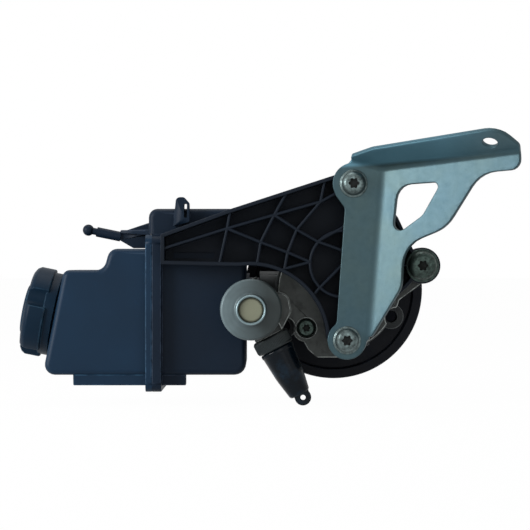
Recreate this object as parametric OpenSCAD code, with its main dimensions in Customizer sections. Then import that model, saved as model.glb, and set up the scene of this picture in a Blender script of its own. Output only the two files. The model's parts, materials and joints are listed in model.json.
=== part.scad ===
// Vane-type power steering pump with its fluid reservoir, ribbed carrier arm
// and folded support bracket.
// X runs right, Z up and Y along the shaft towards the belt pulley. The origin
// lies on the shaft axis, in the face that seats on the engine. Sizes in mm.

// Piece to draw on its own, or "all"

/* [Pulley] */
// Outside diameter of the belt pulley
pulley_d = 128; // [110:1:140]
// Width of the pulley rim
pulley_w = 26; // [24:1:32]
// Gap between the mounting face and the rim
pulley_gap = 10; // [8:1:14]
// Number of belt grooves
groove_count = 6; // [4:1:6]
// Pitch of the belt grooves
groove_pitch = 3.56; // [3:0.01:3.6]
// Depth of the belt grooves
groove_depth = 3; // [2:0.1:4]
// Thickness of the pulley web
web_t = 4; // [3:0.5:6]

/* [Pump] */
// Outside diameter of the pump housing
housing_d = 84; // [80:1:90]
// Length of the housing behind the mounting face
housing_l = 56; // [54:1:64]
// Thickness of the rear cover
cover_t = 14; // [12:0.5:18]
// Shaft diameter at the front bush
shaft_d = 17; // [15:0.5:18]
// Running clearance of the shaft in its bushes, on the radius
run_gap = 0.04; // [0.02:0.01:0.08]
// Radius of the bore that holds the vane cartridge
cartridge_r = 26.5; // [26:0.1:27]
// Width of the cam ring
cam_w = 20; // [16:0.5:22]
// Small radius of the cam track
cam_minor = 19.2; // [18:0.1:19.5]
// Rise of the cam track over its small radius
cam_rise = 1.6; // [1:0.1:1.8]
// Vane thickness
vane_t = 1.8; // [1.4:0.1:2.2]
// Circle of the three cover screws, as a radius
cover_screw_r = 33; // [32:0.5:34]
// Circle of the three engine bolts, as a diameter
mount_pcd = 88; // [86:1:94]
// Diameter of the engine bolt holes
mount_hole_d = 8.5; // [8:0.1:9]

/* [Reservoir] */
// Left end of the tank, at the top of the slanted face
tank_left = -187.5; // [-195:0.5:-184]
// Right end of the tank
tank_right = -62.4; // [-68:0.2:-61]
// Underside of the tank
tank_bottom = -57.5; // [-64:0.5:-52]
// Top of the left moulding at the seam
tank_step = 29; // [27:0.5:31]
// Top of the right moulding
tank_top = 56.4; // [54:0.2:60]
// Depth of the tank
tank_depth = 74; // [68:1:76]
// Wall thickness
tank_wall = 3; // [2:0.2:4]
// Place of the seam between the two mouldings
seam_x = -126.6; // [-128:0.2:-125.6]
// Height of the seam rim above the tank
rim_h = 9.5; // [7:0.5:11]
// Slant of the filler face and its neck
filler_tilt = 11.5; // [8:0.5:14]
// Outside radius of the filler neck
neck_r = 21; // [18:0.5:22]
// Length of the filler neck
neck_l = 16; // [14:0.5:17]
// Largest radius of the filler cap
cap_r = 31; // [30:0.5:33]
// Number of grip lobes on the cap
cap_lobes = 4; // [3:1:6]
// Ball diameter of the stud
ball_d = 7.9; // [7:0.1:9]

/* [Carrier arm] */
// Depth of the arm
arm_h = 22; // [18:0.5:26]
// Thickness of its back plate
arm_plate = 2.6; // [2:0.2:3.6]
// Thickness of the rim wall
arm_wall = 2.6; // [2:0.2:3.4]
// Thickness of the ribs
arm_rib = 2; // [1.4:0.1:2.8]

/* [Support bracket] */
// Sheet thickness
sheet_t = 3.2; // [2.6:0.1:4]
// Lean of the long fold from upright
fold_lean = 4.9; // [3:0.1:7]
// Bend of the web towards the front
web_bend = 30; // [25:1:36]
// Rise of the upper fold along the web
crease_rise = 9.5; // [8:0.5:11]
// Bend of the top flange from the web
flange_bend = 58; // [52:1:64]
// Hole in the top flange
eye_d = 10; // [8:0.2:11]

/* [Pressure side] */
// Radius of the union plate
union_r = 20.6; // [18:0.2:22]
// Outside radius of the union tube
tube_r = 10.4; // [9.6:0.1:11]
// Bore of the union tube, as a radius
tube_bore = 8.5; // [7.4:0.1:8.8]
// Lean of the control valve from upright
valve_lean = 27.5; // [22:0.5:32]
// Radius of the spool
spool_r = 6.5; // [5.5:0.1:7]

/* [Hidden] */
$fn = 64;
vane_count = 10;
pulley_r = pulley_d/2;
pulley_y1 = pulley_gap + pulley_w;
web_y = pulley_gap + 4;
hub_r = shaft_d/2 + 4.5;
hub_end = web_y + web_t + 6;
plate_t = 6;
front_wall = housing_l - cam_w - 2*plate_t - 2;
cam_y1 = -front_wall - plate_t;
cam_y0 = cam_y1 - cam_w;
rear_plate_y = cam_y0 - plate_t;
cover_y = -housing_l;
back_y = cover_y - cover_t;
spline_r = shaft_d/2 - 1;
tail_r = spline_r - 1.5;
rotor_r = cam_minor - 0.3;
vane_l = 5.5;
arm_y0 = back_y - arm_h;
strip_y = arm_y0 - sheet_t/2;
head_y = arm_y0 - sheet_t;
tank_y0 = back_y;
tank_y1 = tank_y0 + tank_depth;
tank_mid = (tank_y0 + tank_y1)/2;
tank_edge = 4;
rim_l = 4.4;
rim_w = 6.4;
suction_y = -36;
suction_r = 9;
upper_boss = [10, 72.6];
lower_boss = [5.5, -32.8];
right_boss = [56.5, 17.4];
bolt_r = 4;
screw_sink = 6;
union_c = [-58.9, -12.1];
union_y = back_y - 26;
valve_o = [-42.6, back_y - 11, -37.4];
collar_r = 12.8;
collar_z = -8;
filler_z = -17.5;
filler_c = [tank_left - (14.4 - filler_z)*tan(filler_tilt), tank_mid, filler_z];
fold_top = [29.9, strip_y, 83.1];
fold_l = 114.8;
cover_screw_at = [for (a = [110, 230, 350]) cover_screw_r*[cos(a), sin(a)]];
mount_at = [for (a = [95, 215, 335]) mount_pcd/2*[cos(a), sin(a)]];

// Paths with rounded corners. Each corner is [x, y, radius], listed counter-
// clockwise; a positive inset moves the whole path inwards.
function unit(v) = v/norm(v);
function turn(a, b) = a[0]*b[1] - a[1]*b[0];
function arc_at(c, r, a0, sweep, n) =
  [for (k = [0:n]) c + r*[cos(a0 + sweep*k/n), sin(a0 + sweep*k/n)]];
function corner(p, q, s, inset, n) =
  let (
    b = [q[0], q[1]],
    u = unit([p[0], p[1]] - b),
    v = unit([s[0], s[1]] - b),
    out = turn(v, u) > 0 ? 1 : -1,
    half = acos(max(-1, min(1, u*v)))/2,
    way = unit(u + v),
    r = max(0.05, q[2] - out*inset),
    tip = b + way*out*inset/sin(half),
    c = tip + way*r/sin(half),
    foot = tip + u*r/tan(half) - c,
    start = atan2(foot[1], foot[0])
  )
  arc_at(c, r, start, out*(180 - 2*half), n);
function soft(pts, inset = 0, n = 5) =
  let (m = len(pts))
  [for (i = [0:m - 1]) each corner(pts[(i + m - 1)%m], pts[i], pts[(i + 1)%m], inset, n)];

function middle(pts) =
  [for (k = [0, 1]) ([for (p = pts) 1]*[for (p = pts) p[k]])/len(pts)];

// Solid along Y on a soft path, with its front and back edges rounded
module soft_block(pts, y0, y1, edge, inset = 0, n = 5, q = 4) {
  rings = [
    for (k = [0:q]) [inset + edge*(1 - sin(90*k/q)), y0 + edge*(1 - cos(90*k/q))],
    for (k = [q:-1:0]) [inset + edge*(1 - sin(90*k/q)), y1 - edge*(1 - cos(90*k/q))]
  ];
  loops = [for (g = rings) [for (p = soft(pts, g[0], n)) [p[0], g[1], p[1]]]];
  hub = middle(pts);
  w = len(loops[0]);
  m = len(rings);
  polyhedron(
    points = concat([for (l = loops) each l], [[hub[0], y0, hub[1]], [hub[0], y1, hub[1]]]),
    faces = concat(
      [for (j = [0:w - 1]) [m*w, (j + 1)%w, j]],
      [for (j = [0:w - 1]) [m*w + 1, (m - 1)*w + j, (m - 1)*w + (j + 1)%w]],
      [for (i = [0:m - 2], j = [0:w - 1])
        each let (a = i*w + j, b = i*w + (j + 1)%w)
          [[a, b, b + w], [a, b + w, a + w]]]
    )
  );
}

// Helpers that turn flat shapes and rods to the Y and X axes
module slab(y0, y1) {
  translate([0, y1, 0]) rotate([90, 0, 0]) linear_extrude(y1 - y0) children();
}
module rod(r, y0, y1, at = [0, 0]) {
  translate([at[0], y0, at[1]]) rotate([-90, 0, 0]) cylinder(r = r, h = y1 - y0);
}
module turned(pts) {
  rotate([-90, 0, 0]) rotate_extrude($fn = 96) polygon(pts);
}
module tube(r_out, r_in, y0, y1) {
  turned([[r_in, y0], [r_out, y0], [r_out, y1], [r_in, y1]]);
}
module rod_x(r, x0, x1, y, z) {
  translate([x0, y, z]) rotate([0, 90, 0]) cylinder(r = r, h = x1 - x0);
}
module at(p) {
  translate([p[0], 0, p[1]]) children();
}
module bar(a, b, w) {
  d = b - a;
  translate(a) rotate(atan2(d[1], d[0])) translate([0, -w/2]) square([norm(d), w]);
}
module chain(pts, w) {
  for (i = [0:len(pts) - 2]) bar(pts[i], pts[i + 1], w);
  for (p = [for (i = [1:1:len(pts) - 2]) pts[i]]) translate(p) circle(d = w*1.3, $fn = 24);
}
module round_plate(x0, x1, y0, y1, z0, z1, r) {
  translate([x0, 0, 0]) rotate([90, 0, 90]) linear_extrude(x1 - x0)
    polygon(soft([[y0, z0, r], [y1, z0, r], [y1, z1, r], [y0, z1, r]]));
}

// Reservoir
rim_z0 = tank_bottom - rim_h - 1.8;
skirt_z = tank_bottom - rim_h + 2.3;
rim_z1 = tank_step + rim_h;
rim_y0 = tank_y0 - 8;
rim_y1 = tank_y1 + 8;
lip_x = tank_wall - 0.4;
left_path = [
  [seam_x + 30, tank_bottom, 8],
  [seam_x + 30, tank_step, 8],
  [-156, tank_step, 7],
  [-160, 14.4, 7],
  [tank_left, 14.4, 5],
  [tank_left - (14.4 - tank_bottom)*tan(filler_tilt), tank_bottom, 7]
];
right_path = [
  [seam_x - lip_x, tank_bottom, 6],
  [tank_right, tank_bottom, 8],
  [tank_right, tank_top, 7],
  [seam_x - lip_x, tank_top, 6]
];

module tank_skin(path) {
  wall = tank_wall;
  difference() {
    soft_block(path, tank_y0, tank_y1, tank_edge);
    children();
    soft_block(path, tank_y0 + wall, tank_y1 - wall, max(0.8, tank_edge - wall), wall);
  }
}
module seam_opening(x0, x1) {
  w = tank_wall + 1;
  round_plate(x0, x1, tank_y0 + w, tank_y1 - w, tank_bottom + w, tank_step - w, 3);
}
module filler_frame() {
  translate(filler_c) rotate([0, filler_tilt - 90, 0]) children();
}
module reservoir_cap_shell() {
  color("#24344e") difference() {
    union() {
      tank_skin(left_path) translate([seam_x, -300, -300]) cube([300, 600, 600]);
      difference() {
        round_plate(seam_x - rim_l, seam_x, rim_y0, rim_y1, rim_z0, rim_z1, 7);
        seam_opening(seam_x - rim_l - 1, seam_x + 1);
      }
      filler_frame() translate([0, 0, -tank_wall + 0.2]) cylinder(r = neck_r, h = neck_l + tank_wall - 0.2);
      filler_frame() cylinder(r1 = neck_r + 2.5, r2 = neck_r, h = 1.2);
      translate([seam_x - rim_l - 50, tank_y0 + 3, skirt_z]) cube([50.5, 9, rim_h - 1.3]);
    }
    filler_frame() translate([0, 0, -tank_wall - 6]) cylinder(r = neck_r - 3, h = neck_l + tank_wall + 7);
  }
}
module ball_stud() {
  ball = [-172.4, -45, 42.1];
  lean = tan(filler_tilt);
  foot = seam_x - rim_l - 2;
  translate(ball) {
    sphere(d = ball_d);
    rotate([0, 90 + filler_tilt, 0]) {
      cylinder(d = ball_d*0.6, h = 9);
      translate([0, 0, 6]) cylinder(d = 6.8, h = (foot - 17 - ball[0])/cos(filler_tilt) - 6);
    }
  }
  mid = function(x) ball[2] - (x - ball[0])*lean;
  slab(ball[1] - 1.5, ball[1] + 1.5) polygon([
    [foot - 19, mid(foot - 19) + 2], [seam_x - 1, 48], [seam_x - 1, rim_z1 + 0.8],
    [foot + 1.4, rim_z1 + 0.8], [foot + 1.4, tank_step + 0.5], [foot - 8, tank_step + 0.5],
    [foot - 19, mid(foot - 19) - 2]
  ]);
  translate([seam_x - 1, ball[1], rim_z1 + 1]) linear_extrude(2.6)
    polygon([[0, -9], [0, 9], [-22.4, 3], [-22.4, -3]]);
}
module snap_lug() {
  difference() {
    slab(tank_y0 - 9, tank_y0 + 3) polygon(soft([
      [-101, 47.2, 0.6], [-101, 60, 3], [-104.5, 64, 2.4], [-110, 64, 3], [-112, 44, 0.6]]));
    slab(tank_y0 - 10, tank_y0 + 4) polygon(soft([
      [-104.6, 50, 0.6], [-102.6, 50, 0.6], [-102.6, 59, 0.8], [-104.6, 60.5, 0.8]]));
  }
}
module reservoir_pump_shell() {
  color("#1f2a3a") difference() {
    union() {
      tank_skin(right_path)
        translate([seam_x - 200, -300, -300]) cube([200, 600, 300.5 + rim_z1]);
      round_plate(seam_x, seam_x + rim_w, rim_y0, rim_y1, rim_z0, rim_z1, 7);
      translate([seam_x + 0.2, tank_y0 + 1, rim_z1 - 4]) cube([rim_w - 1.2, tank_depth - 2, 8]);
      rod_x(suction_r, tank_right - 1, tank_right + 18, suction_y, 0);
      rod_x(suction_r + 3, tank_right - 1, tank_right + 2, suction_y, 0);
      rod(6, tank_y1 - 1, tank_y1 + 22, [-95, -25]);
      rod(9, tank_y1 - 1, tank_y1 + 1.5, [-95, -25]);
      translate([seam_x + rim_w - 0.5, tank_y0 + 3, skirt_z]) cube([17, 9, rim_h - 1.3]);
      ball_stud();
      snap_lug();
    }
    seam_opening(seam_x - 4, seam_x + rim_w + 1);
    rod_x(suction_r - 3, tank_right - 6, tank_right + 19, suction_y, 0);
    rod(4, tank_y1 - 5, tank_y1 + 23, [-95, -25]);
    translate([tank_right + 11, suction_y, 0]) rotate([0, 90, 0]) difference() {
      cylinder(r = suction_r + 1, h = 2.4);
      cylinder(r = suction_r - 1.6, h = 2.4);
    }
  }
}
module suction_seal() {
  color("#151515") translate([tank_right + 12.2, suction_y, 0]) rotate([0, 90, 0])
    rotate_extrude($fn = 64) translate([suction_r - 0.75, 0]) circle(r = 0.85, $fn = 24);
}
module strainer() {
  r = suction_r + 3;
  x1 = tank_right - tank_wall;
  color("#c9c2a4") difference() {
    rod_x(r, x1 - 18, x1, suction_y, 0);
    rod_x(r - 1.4, x1 - 16.6, x1 + 1, suction_y, 0);
    for (a = [0:45:315]) translate([x1 - 14, suction_y, 0]) rotate([a, 0, 0])
      translate([0, -2.2, 2]) cube([10, 4.4, r]);
  }
}
module filler_cap() {
  h = neck_l + 8.4;
  skirt = 7.5;
  color("#1b2228") filler_frame() difference() {
    union() {
      translate([0, 0, 1.8]) cylinder(r = cap_r - 2, h = skirt);
      difference() {
        rotate_extrude($fn = 96) polygon([
          [0, skirt], [cap_r - 0.6, skirt], [cap_r, skirt + 0.8], [cap_r, h - 6.4],
          [cap_r - 1.4, h - 4], [cap_r - 4, h - 2.4], [0, h - 2.4]]);
        for (i = [0:cap_lobes - 1]) rotate(i*360/cap_lobes - 70)
          translate([cap_r + 2, 0, skirt - 1]) cylinder(r = 7, h = h);
      }
      rotate_extrude($fn = 96) polygon([
        [0, h - 5], [17.8, h - 5], [17.8, h - 1.2], [16.6, h], [0, h]]);
    }
    cylinder(r = neck_r + 0.5, h = neck_l + 1);
    translate([0, 0, h - 1.6]) cylinder(r = 12, h = 3);
  }
}
module cap_seal() {
  color("#2b2b2b") filler_frame() translate([0, 0, neck_l]) difference() {
    cylinder(r = neck_r, h = 1);
    translate([0, 0, -1]) cylinder(r = neck_r - 3, h = 3);
  }
}

// Carrier arm: rim wall, thin back plate and a lattice of ribs
arm_bow = [-59.7, -34.4];
arm_bow_r = 51.9;
arm_left = seam_x + rim_w + 0.3;
lattice = [
  [-75, 42.5], [-43.2, 51.6], [-52.4, 33.2], [-28, 41.7], [-34.2, 26.3],
  [-14, 33.7], [-18.9, 19.9], [-12, 60.5], [-36.3, 15.2], [-13, 2]
];
ring_c = [3.4, 18.6];
ring_r = 22.4;
module arm_outline() {
  difference() {
    union() {
      polygon([
        [arm_left, 18.3], [arm_left, 38.6], [-75, 54.9], [upper_boss[0] - 6, upper_boss[1] + 8],
        [upper_boss[0] + 8, upper_boss[1] + 6], [40, 50], [50, 29], right_boss,
        [49, 5.6], [39.5, -3.6], [31, -14], [lower_boss[0] + 9, lower_boss[1] - 5],
        lower_boss, [lower_boss[0] - 15, lower_boss[1] + 1], [-24, -4], [-58, 16.8]
      ]);
      translate(upper_boss) circle(r = 10.4);
      translate(right_boss) circle(r = 12.2);
    }
    translate(arm_bow) circle(r = arm_bow_r, $fn = 96);
  }
  translate(lower_boss) circle(r = 11.4);
}
module arm_ribs() {
  n = lattice;
  chain([[arm_left - 1, 28], n[0], n[1], n[7], upper_boss], arm_rib);
  chain([n[0], n[2], n[4], n[6]], arm_rib);
  chain([n[1], n[3], n[5], [25.6, 19.5]], arm_rib);
  chain([[-72, 60], n[0], [-81, 15]], arm_rib);
  chain([[-33, 70], n[1], n[2], [-55.5, 14]], arm_rib);
  chain([[-8, 80], n[7], n[3], n[4], n[8]], arm_rib);
  chain([n[5], [2, 42.5], [34, 66]], arm_rib);
  chain([[-46, 10], n[8], n[6]], arm_rib);
  chain([[-20, -6], n[9], ring_c, right_boss], arm_rib);
  chain([upper_boss, ring_c, lower_boss], arm_rib);
  translate(ring_c) difference() {
    circle(r = ring_r + arm_rib/2, $fn = 72);
    circle(r = ring_r - arm_rib/2, $fn = 72);
  }
}
module carrier_arm() {
  color("#23262c") difference() {
    union() {
      slab(back_y - arm_plate, back_y) arm_outline();
      slab(arm_y0, back_y) difference() {
        arm_outline();
        offset(delta = -arm_wall) arm_outline();
      }
      slab(arm_y0 + 1.2, back_y) intersection() {
        arm_outline();
        arm_ribs();
      }
      rod(10.4, arm_y0, back_y, upper_boss);
      rod(11.4, arm_y0, back_y, lower_boss);
      rod(11, arm_y0, back_y, right_boss);
    }
    for (p = [upper_boss, lower_boss, right_boss]) rod(6.5, arm_y0 - 1, back_y + 1, p);
    slab(back_y - arm_plate - 1, back_y + 1)
      polygon([[-112, 22.4], [-85, 22.4], [-84, 26.6], [-112, 26.6]]);
  }
}
module boss_sleeves() {
  color("#9a9c9a") for (p = [upper_boss, lower_boss, right_boss])
    at(p) tube(6.5, bolt_r + 0.3, arm_y0, back_y);
}

// Pump body
module lug_2d(p, r) {
  d = norm(p);
  rotate(atan2(p[1], p[0])) polygon([[d - 24, -r - 8], [d, 0.5 - r], [d, r - 0.5], [d - 24, r + 8]]);
  translate(p) circle(r = r);
}
module pump_housing() {
  r = housing_d/2;
  color("#77756d") difference() {
    union() {
      turned([
        [0, -housing_l], [r, -housing_l], [r, -housing_l + 12], [r - 2, -housing_l + 14],
        [r - 2, -16], [r, -14], [r, -1], [r - 1, 0], [20, 0], [20, 3], [0, 3]]);
      slab(-16, 0) for (p = mount_at) lug_2d(p, 9);
      rod_x(suction_r + 4.5, tank_right + 9, -20, suction_y, 0);
      for (a = [40, 65, 125, 150, 250, 275, 300]) rotate([0, -a, 0])
        translate([r - 3, -housing_l + 9, -1.5]) cube([5, housing_l - 21, 3]);
    }
    rod(cartridge_r, -housing_l - 1, -front_wall);
    rod(shaft_d/2 + 2, -front_wall - 1, -8);
    rod(15, -9, 4);
    rod(16.2, -2.4, -1.2);
    rod_x(suction_r + 0.1, tank_right + 8, tank_right + 19, suction_y, 0);
    rod_x(suction_r - 3, tank_right + 18, -18, suction_y, 0);
    for (p = cover_screw_at) rod(2.6, -housing_l - 1, -housing_l + 19, p);
    for (s = [-1, 1]) rod(1.6, -front_wall - 1, -front_wall + 2, [0, s*pin_r]);
    for (p = mount_at) {
      rod(mount_hole_d/2, -17, 1, p);
      rod(7.2, -housing_l - 1, -16, p);
    }
  }
}
pin_r = (cam_minor + cartridge_r)/2 + 0.2;
module valve_frame() {
  translate(valve_o) rotate([0, 180 - valve_lean, 0]) children();
}
module rear_cover() {
  color("#6e6b62") difference() {
    union() {
      slab(back_y, cover_y) difference() {
        union() {
          circle(r = housing_d/2 - 1.5);
          translate(lower_boss) circle(r = 11);
          lug_2d(right_boss, 11.6);
          for (p = cover_screw_at) translate(p) circle(r = 9.6);
          polygon(soft([[-30, -22, 1], [-20, -40, 4], [-14, -45.4, 4], [6, -45.4, 4], [10, -30, 1]]));
        }
        for (p = mount_at) translate(p) circle(r = 7.2);
      }
      rod(cartridge_r - 0.2, cover_y - 1, rear_plate_y);
      rod(17.5, union_y, back_y - 0.6, union_c);
      slab(back_y - 16, back_y + 0.5) polygon(soft([
        [-60, -26, 3], [-47, -34, 6], [-39, -28, 5], [-32, -14, 5], [-34, -3, 5], [-52, 3, 4]]));
      valve_frame() translate([0, 0, -48]) cylinder(r = 10.6, h = 48 + collar_z);
    }
    translate([tank_right - 100, back_y - 0.6, -100]) cube([100.4, 40, 200]);
    rod(tail_r + 1.5 + run_gap, cover_y - 11, rear_plate_y + 1);
    for (p = cover_screw_at) {
      rod(3.2, back_y - 1, cover_y + 1, p);
      rod(6.8, back_y - 1, back_y + screw_sink, p);
    }
    for (s = [-1, 1]) rod(1.6, rear_plate_y - 4, rear_plate_y + 1, [0, s*pin_r]);
    for (p = [lower_boss, right_boss]) rod(bolt_r, back_y - 1, cover_y - 1, p);
    at([0, 0]) tube(29.9, 27.7, cover_y - 1.3, cover_y + 1);
    valve_frame() translate([0, 0, -44]) cylinder(r = spool_r + run_gap, h = 41);
    valve_frame() translate([0, 0, -12]) cylinder(r = 8.5, h = 9);
    valve_frame() translate([0, 0, collar_z]) cylinder(r = collar_r + 0.5, h = 30);
    rod(tube_r + 0.6, union_y - 1, union_y + 7, union_c);
    rod(4, union_y + 6, valve_o[1], union_c + [4, 0]);
    rod(15, union_y - 1, union_y + 1.2, union_c);
  }
}
module cover_screws() {
  y = back_y + screw_sink;
  color("#8a8d8c") for (p = cover_screw_at) at(p) difference() {
    union() {
      rod(2.6, cover_y - 1, -housing_l + 18);
      rod(3.2, y, cover_y);
      turned([[0, y - 5.6], [4.8, y - 5.6], [6.2, y - 4.2], [6.2, y], [0, y]]);
    }
    star_socket(y - 5.6, 2.5);
  }
}
module star_socket(y, r) {
  rod(r*0.86, y - 1, y + 3);
  for (a = [0:60:300]) rod(r*0.26, y - 1, y + 3, r*0.88*[cos(a), sin(a)]);
}
module cover_seal() {
  color("#161616") turned([
    [27.7, cover_y - 1.3], [29.9, cover_y - 1.3], [29.9, cover_y], [27.7, cover_y]]);
}

// Vane cartridge
module cam_path() {
  polygon([for (a = [0:3:357]) (cam_minor + cam_rise*pow(cos(a), 2))*[cos(a), sin(a)]]);
}
module pin_holes() {
  for (s = [-1, 1]) rod(1.6, rear_plate_y - 9, 0, [0, s*pin_r]);
}
module cam_ring() {
  color("#5d5f63") difference() {
    rod(cartridge_r - 0.05, cam_y0, cam_y1);
    slab(cam_y0 - 1, cam_y1 + 1) cam_path();
    pin_holes();
  }
}
module side_plate(y0, y1, bore) {
  color("#7d7b72") difference() {
    rod(cartridge_r - 0.05, y0, y1);
    rod(bore, y0 - 1, y1 + 1);
    pin_holes();
    for (a = [30, 120, 210, 300]) rotate([0, a, 0]) rotate([-90, 0, 0])
      translate([0, 0, y0 - 1]) rotate_extrude(angle = 32, $fn = 96)
      translate([cam_minor - 2, 0]) square([2.6, y1 - y0 + 2]);
  }
}
module front_side_plate() {
  side_plate(cam_y1, -front_wall, shaft_d/2 + 0.6);
}
module rear_side_plate() {
  side_plate(rear_plate_y, cam_y0, shaft_d/2 + 1.2);
}
module dowel_pins() {
  color("#a5a7a8") for (s = [-1, 1])
    rod(1.6, rear_plate_y - 3.8, -front_wall + 1.8, [0, s*pin_r]);
}
module rotor() {
  color("#85878a") difference() {
    rod(rotor_r, cam_y0 + 0.05, cam_y1 - 0.05);
    rod(spline_r, cam_y0 - 1, cam_y1 + 1);
    for (i = [0:vane_count - 1]) rotate([0, -i*360/vane_count, 0]) {
      translate([rotor_r - 6.7, cam_y0 - 1, -vane_t/2 - 0.05]) cube([10, cam_w + 2, vane_t + 0.1]);
      rod(1.3, cam_y0 - 1, cam_y1 + 1, [rotor_r - 6.7, 0]);
    }
  }
}
module vane(i) {
  tip = cam_minor - 0.1;
  color("#a9abae") rotate([0, -i*360/vane_count, 0])
    translate([tip - vane_l, cam_y0 + 0.1, -vane_t/2]) cube([vane_l, cam_w - 0.2, vane_t]);
}
module vane_1() { vane(0); }
module vane_2() { vane(1); }
module vane_3() { vane(2); }
module vane_4() { vane(3); }
module vane_5() { vane(4); }
module vane_6() { vane(5); }
module vane_7() { vane(6); }
module vane_8() { vane(7); }
module vane_9() { vane(8); }
module vane_10() { vane(9); }

// Shaft, bushes and seal
module drive_shaft() {
  j = shaft_d/2;
  g = cam_y0 - 0.1;
  color("#9fa1a3") turned([
    [0, cover_y - 10], [tail_r - 0.6, cover_y - 10], [tail_r, cover_y - 9.4],
    [tail_r, cam_y0 - 2.4], [spline_r, cam_y0 - 2.4], [spline_r, g - 1.2],
    [spline_r - 0.7, g - 1.2], [spline_r - 0.7, g], [spline_r, g],
    [spline_r, -front_wall - 1], [j, -front_wall - 0.5], [j, hub_end - 1],
    [j - 1, hub_end], [2, hub_end], [0, hub_end - 3]]);
}
module front_bush() {
  color("#a8894d") tube(shaft_d/2 + 2, shaft_d/2 + run_gap, -front_wall, -9);
}
module rear_bush() {
  color("#a8894d") tube(tail_r + 1.5 + run_gap, tail_r + run_gap, cover_y - 10.5, cover_y);
}
module shaft_seal() {
  j = shaft_d/2;
  color("#3a2a22") turned([
    [15, -9], [15, -2.4], [j + 3, -2.4], [j + 3, -4], [13, -4], [13, -6], [j + 1.2, -6],
    [j + 0.06, -7], [j + 1.2, -9]]);
}
module retaining_ring() {
  color("#8d8f90") rotate([-90, 0, 0]) translate([0, 0, -2.4])
    rotate_extrude(angle = 320, $fn = 96) translate([13, 0]) square([3.2, 1.2]);
}
module rotor_circlip() {
  color("#8d8f90") rotate([-90, 0, 0]) translate([0, 0, cam_y0 - 1.3])
    rotate_extrude(angle = 300, $fn = 64) translate([spline_r - 0.7, 0]) square([2, 1.2]);
}

// Belt drive
screw_circle = hub_r + 6;
module drive_hub() {
  f = web_y - 4;
  color("#6d6f70") difference() {
    turned([
      [shaft_d/2, 4.5], [hub_r, 4.5], [hub_r, f], [hub_r + 12, f], [hub_r + 12, web_y],
      [hub_r, web_y], [hub_r, hub_end - 1], [hub_r - 1, hub_end], [shaft_d/2, hub_end]]);
    for (a = [90, 210, 330]) rod(3, 0, 40, screw_circle*[cos(a), sin(a)]);
  }
}
module pulley() {
  n = groove_count;
  g0 = pulley_gap + (pulley_w - n*groove_pitch)/2;
  top = pulley_r - 1;
  root = pulley_r - 1 - groove_depth;
  rim_in = root - 3.5;
  color("#17191c") difference() {
    turned(concat(
      [[hub_r, web_y], [rim_in, web_y], [rim_in + 1, pulley_gap], [pulley_r - 0.8, pulley_gap],
       [pulley_r, pulley_gap + 0.8], [pulley_r, g0 - 0.4]],
      [for (i = [0:n - 1], k = [[0, 0.1], [1, 0.4], [1, 0.6], [0, 0.9]])
        [top - k[0]*(top - root), g0 + (i + k[1])*groove_pitch]],
      [[pulley_r, g0 + n*groove_pitch + 0.4], [pulley_r, pulley_y1 - 0.8],
       [pulley_r - 0.8, pulley_y1], [rim_in + 1, pulley_y1], [rim_in, web_y + web_t],
       [hub_r, web_y + web_t]]));
    for (a = [90, 210, 330]) rod(3, 0, 40, screw_circle*[cos(a), sin(a)]);
  }
}
module pulley_screws() {
  y = web_y + web_t;
  color("#8f9192") for (a = [90, 210, 330]) at(screw_circle*[cos(a), sin(a)]) {
    rod(3, web_y - 4, y);
    turned([[0, y], [5.4, y], [5.4, y + 1.2], [0, y + 1.2]]);
    translate([0, y + 1, 0]) rotate([-90, 0, 0]) cylinder(r = 4.6, h = 3.6, $fn = 6);
  }
}

// Flow control and pressure port
module flow_spool() {
  r = spool_r;
  color("#a0a2a4") valve_frame() rotate_extrude($fn = 64) polygon([
    [0, -31.3], [r - 2.4, -31.3], [r - 2.4, -28], [r, -28], [r, -24], [r - 1.4, -23.4],
    [r - 1.4, -19.6], [r, -19], [r, -14.4], [r - 1.5, -13.3], [0, -13.3]]);
}
function coil_point(t, turns, r, l) = [r*cos(360*turns*t), r*sin(360*turns*t), l*t];
module coil(turns, r, wire, l, n = 90, m = 6) {
  rings = [for (i = [0:n])
    let (t = i/n, a = 360*turns*t, c = coil_point(t, turns, r, l))
    [for (k = [0:m - 1])
      c + wire*(cos(360*k/m)*[cos(a), sin(a), 0] + sin(360*k/m)*[0, 0, 1])]];
  polyhedron(
    points = [for (g = rings) each g],
    faces = concat(
      [[for (k = [0:m - 1]) k]],
      [[for (k = [m - 1:-1:0]) n*m + k]],
      [for (i = [0:n - 1], k = [0:m - 1])
        each let (a = i*m + k, b = i*m + (k + 1)%m) [[a, a + m, b], [b, a + m, b + m]]])
  );
}
module flow_spring() {
  color("#b0b2b3") valve_frame() translate([0, 0, -43.4]) coil(6, spool_r - 1.4, 0.55, 14.8);
}
module outlet_union() {
  y = union_y;
  color("#8b9493") at(union_c) turned([
    [5, y + 7], [5, y - 3], [tube_bore, y - 4.5], [tube_bore, y - 17.2],
    [tube_bore + 0.8, y - 18], [tube_r - 0.8, y - 18], [tube_r, y - 17.2], [tube_r, y - 6.8],
    [tube_r + 0.8, y - 6], [union_r - 1.2, y - 6], [union_r, y - 4.8], [union_r, y - 1], [union_r - 1, y],
    [tube_r + 0.6, y], [tube_r + 0.6, y + 6.2], [tube_r - 0.4, y + 7]]);
}
module union_washer() {
  color("#b0703c") at(union_c) tube(15, tube_r + 0.6, union_y, union_y + 1.2);
}
module port_plug() {
  y = union_y;
  color("#b5ad8c") at(union_c) turned([
    [0, y - 5], [tube_bore - 0.6, y - 5], [tube_bore, y - 6], [tube_bore, y - 15],
    [tube_bore - 0.6, y - 15.6], [0, y - 15.6]]);
}
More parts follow.
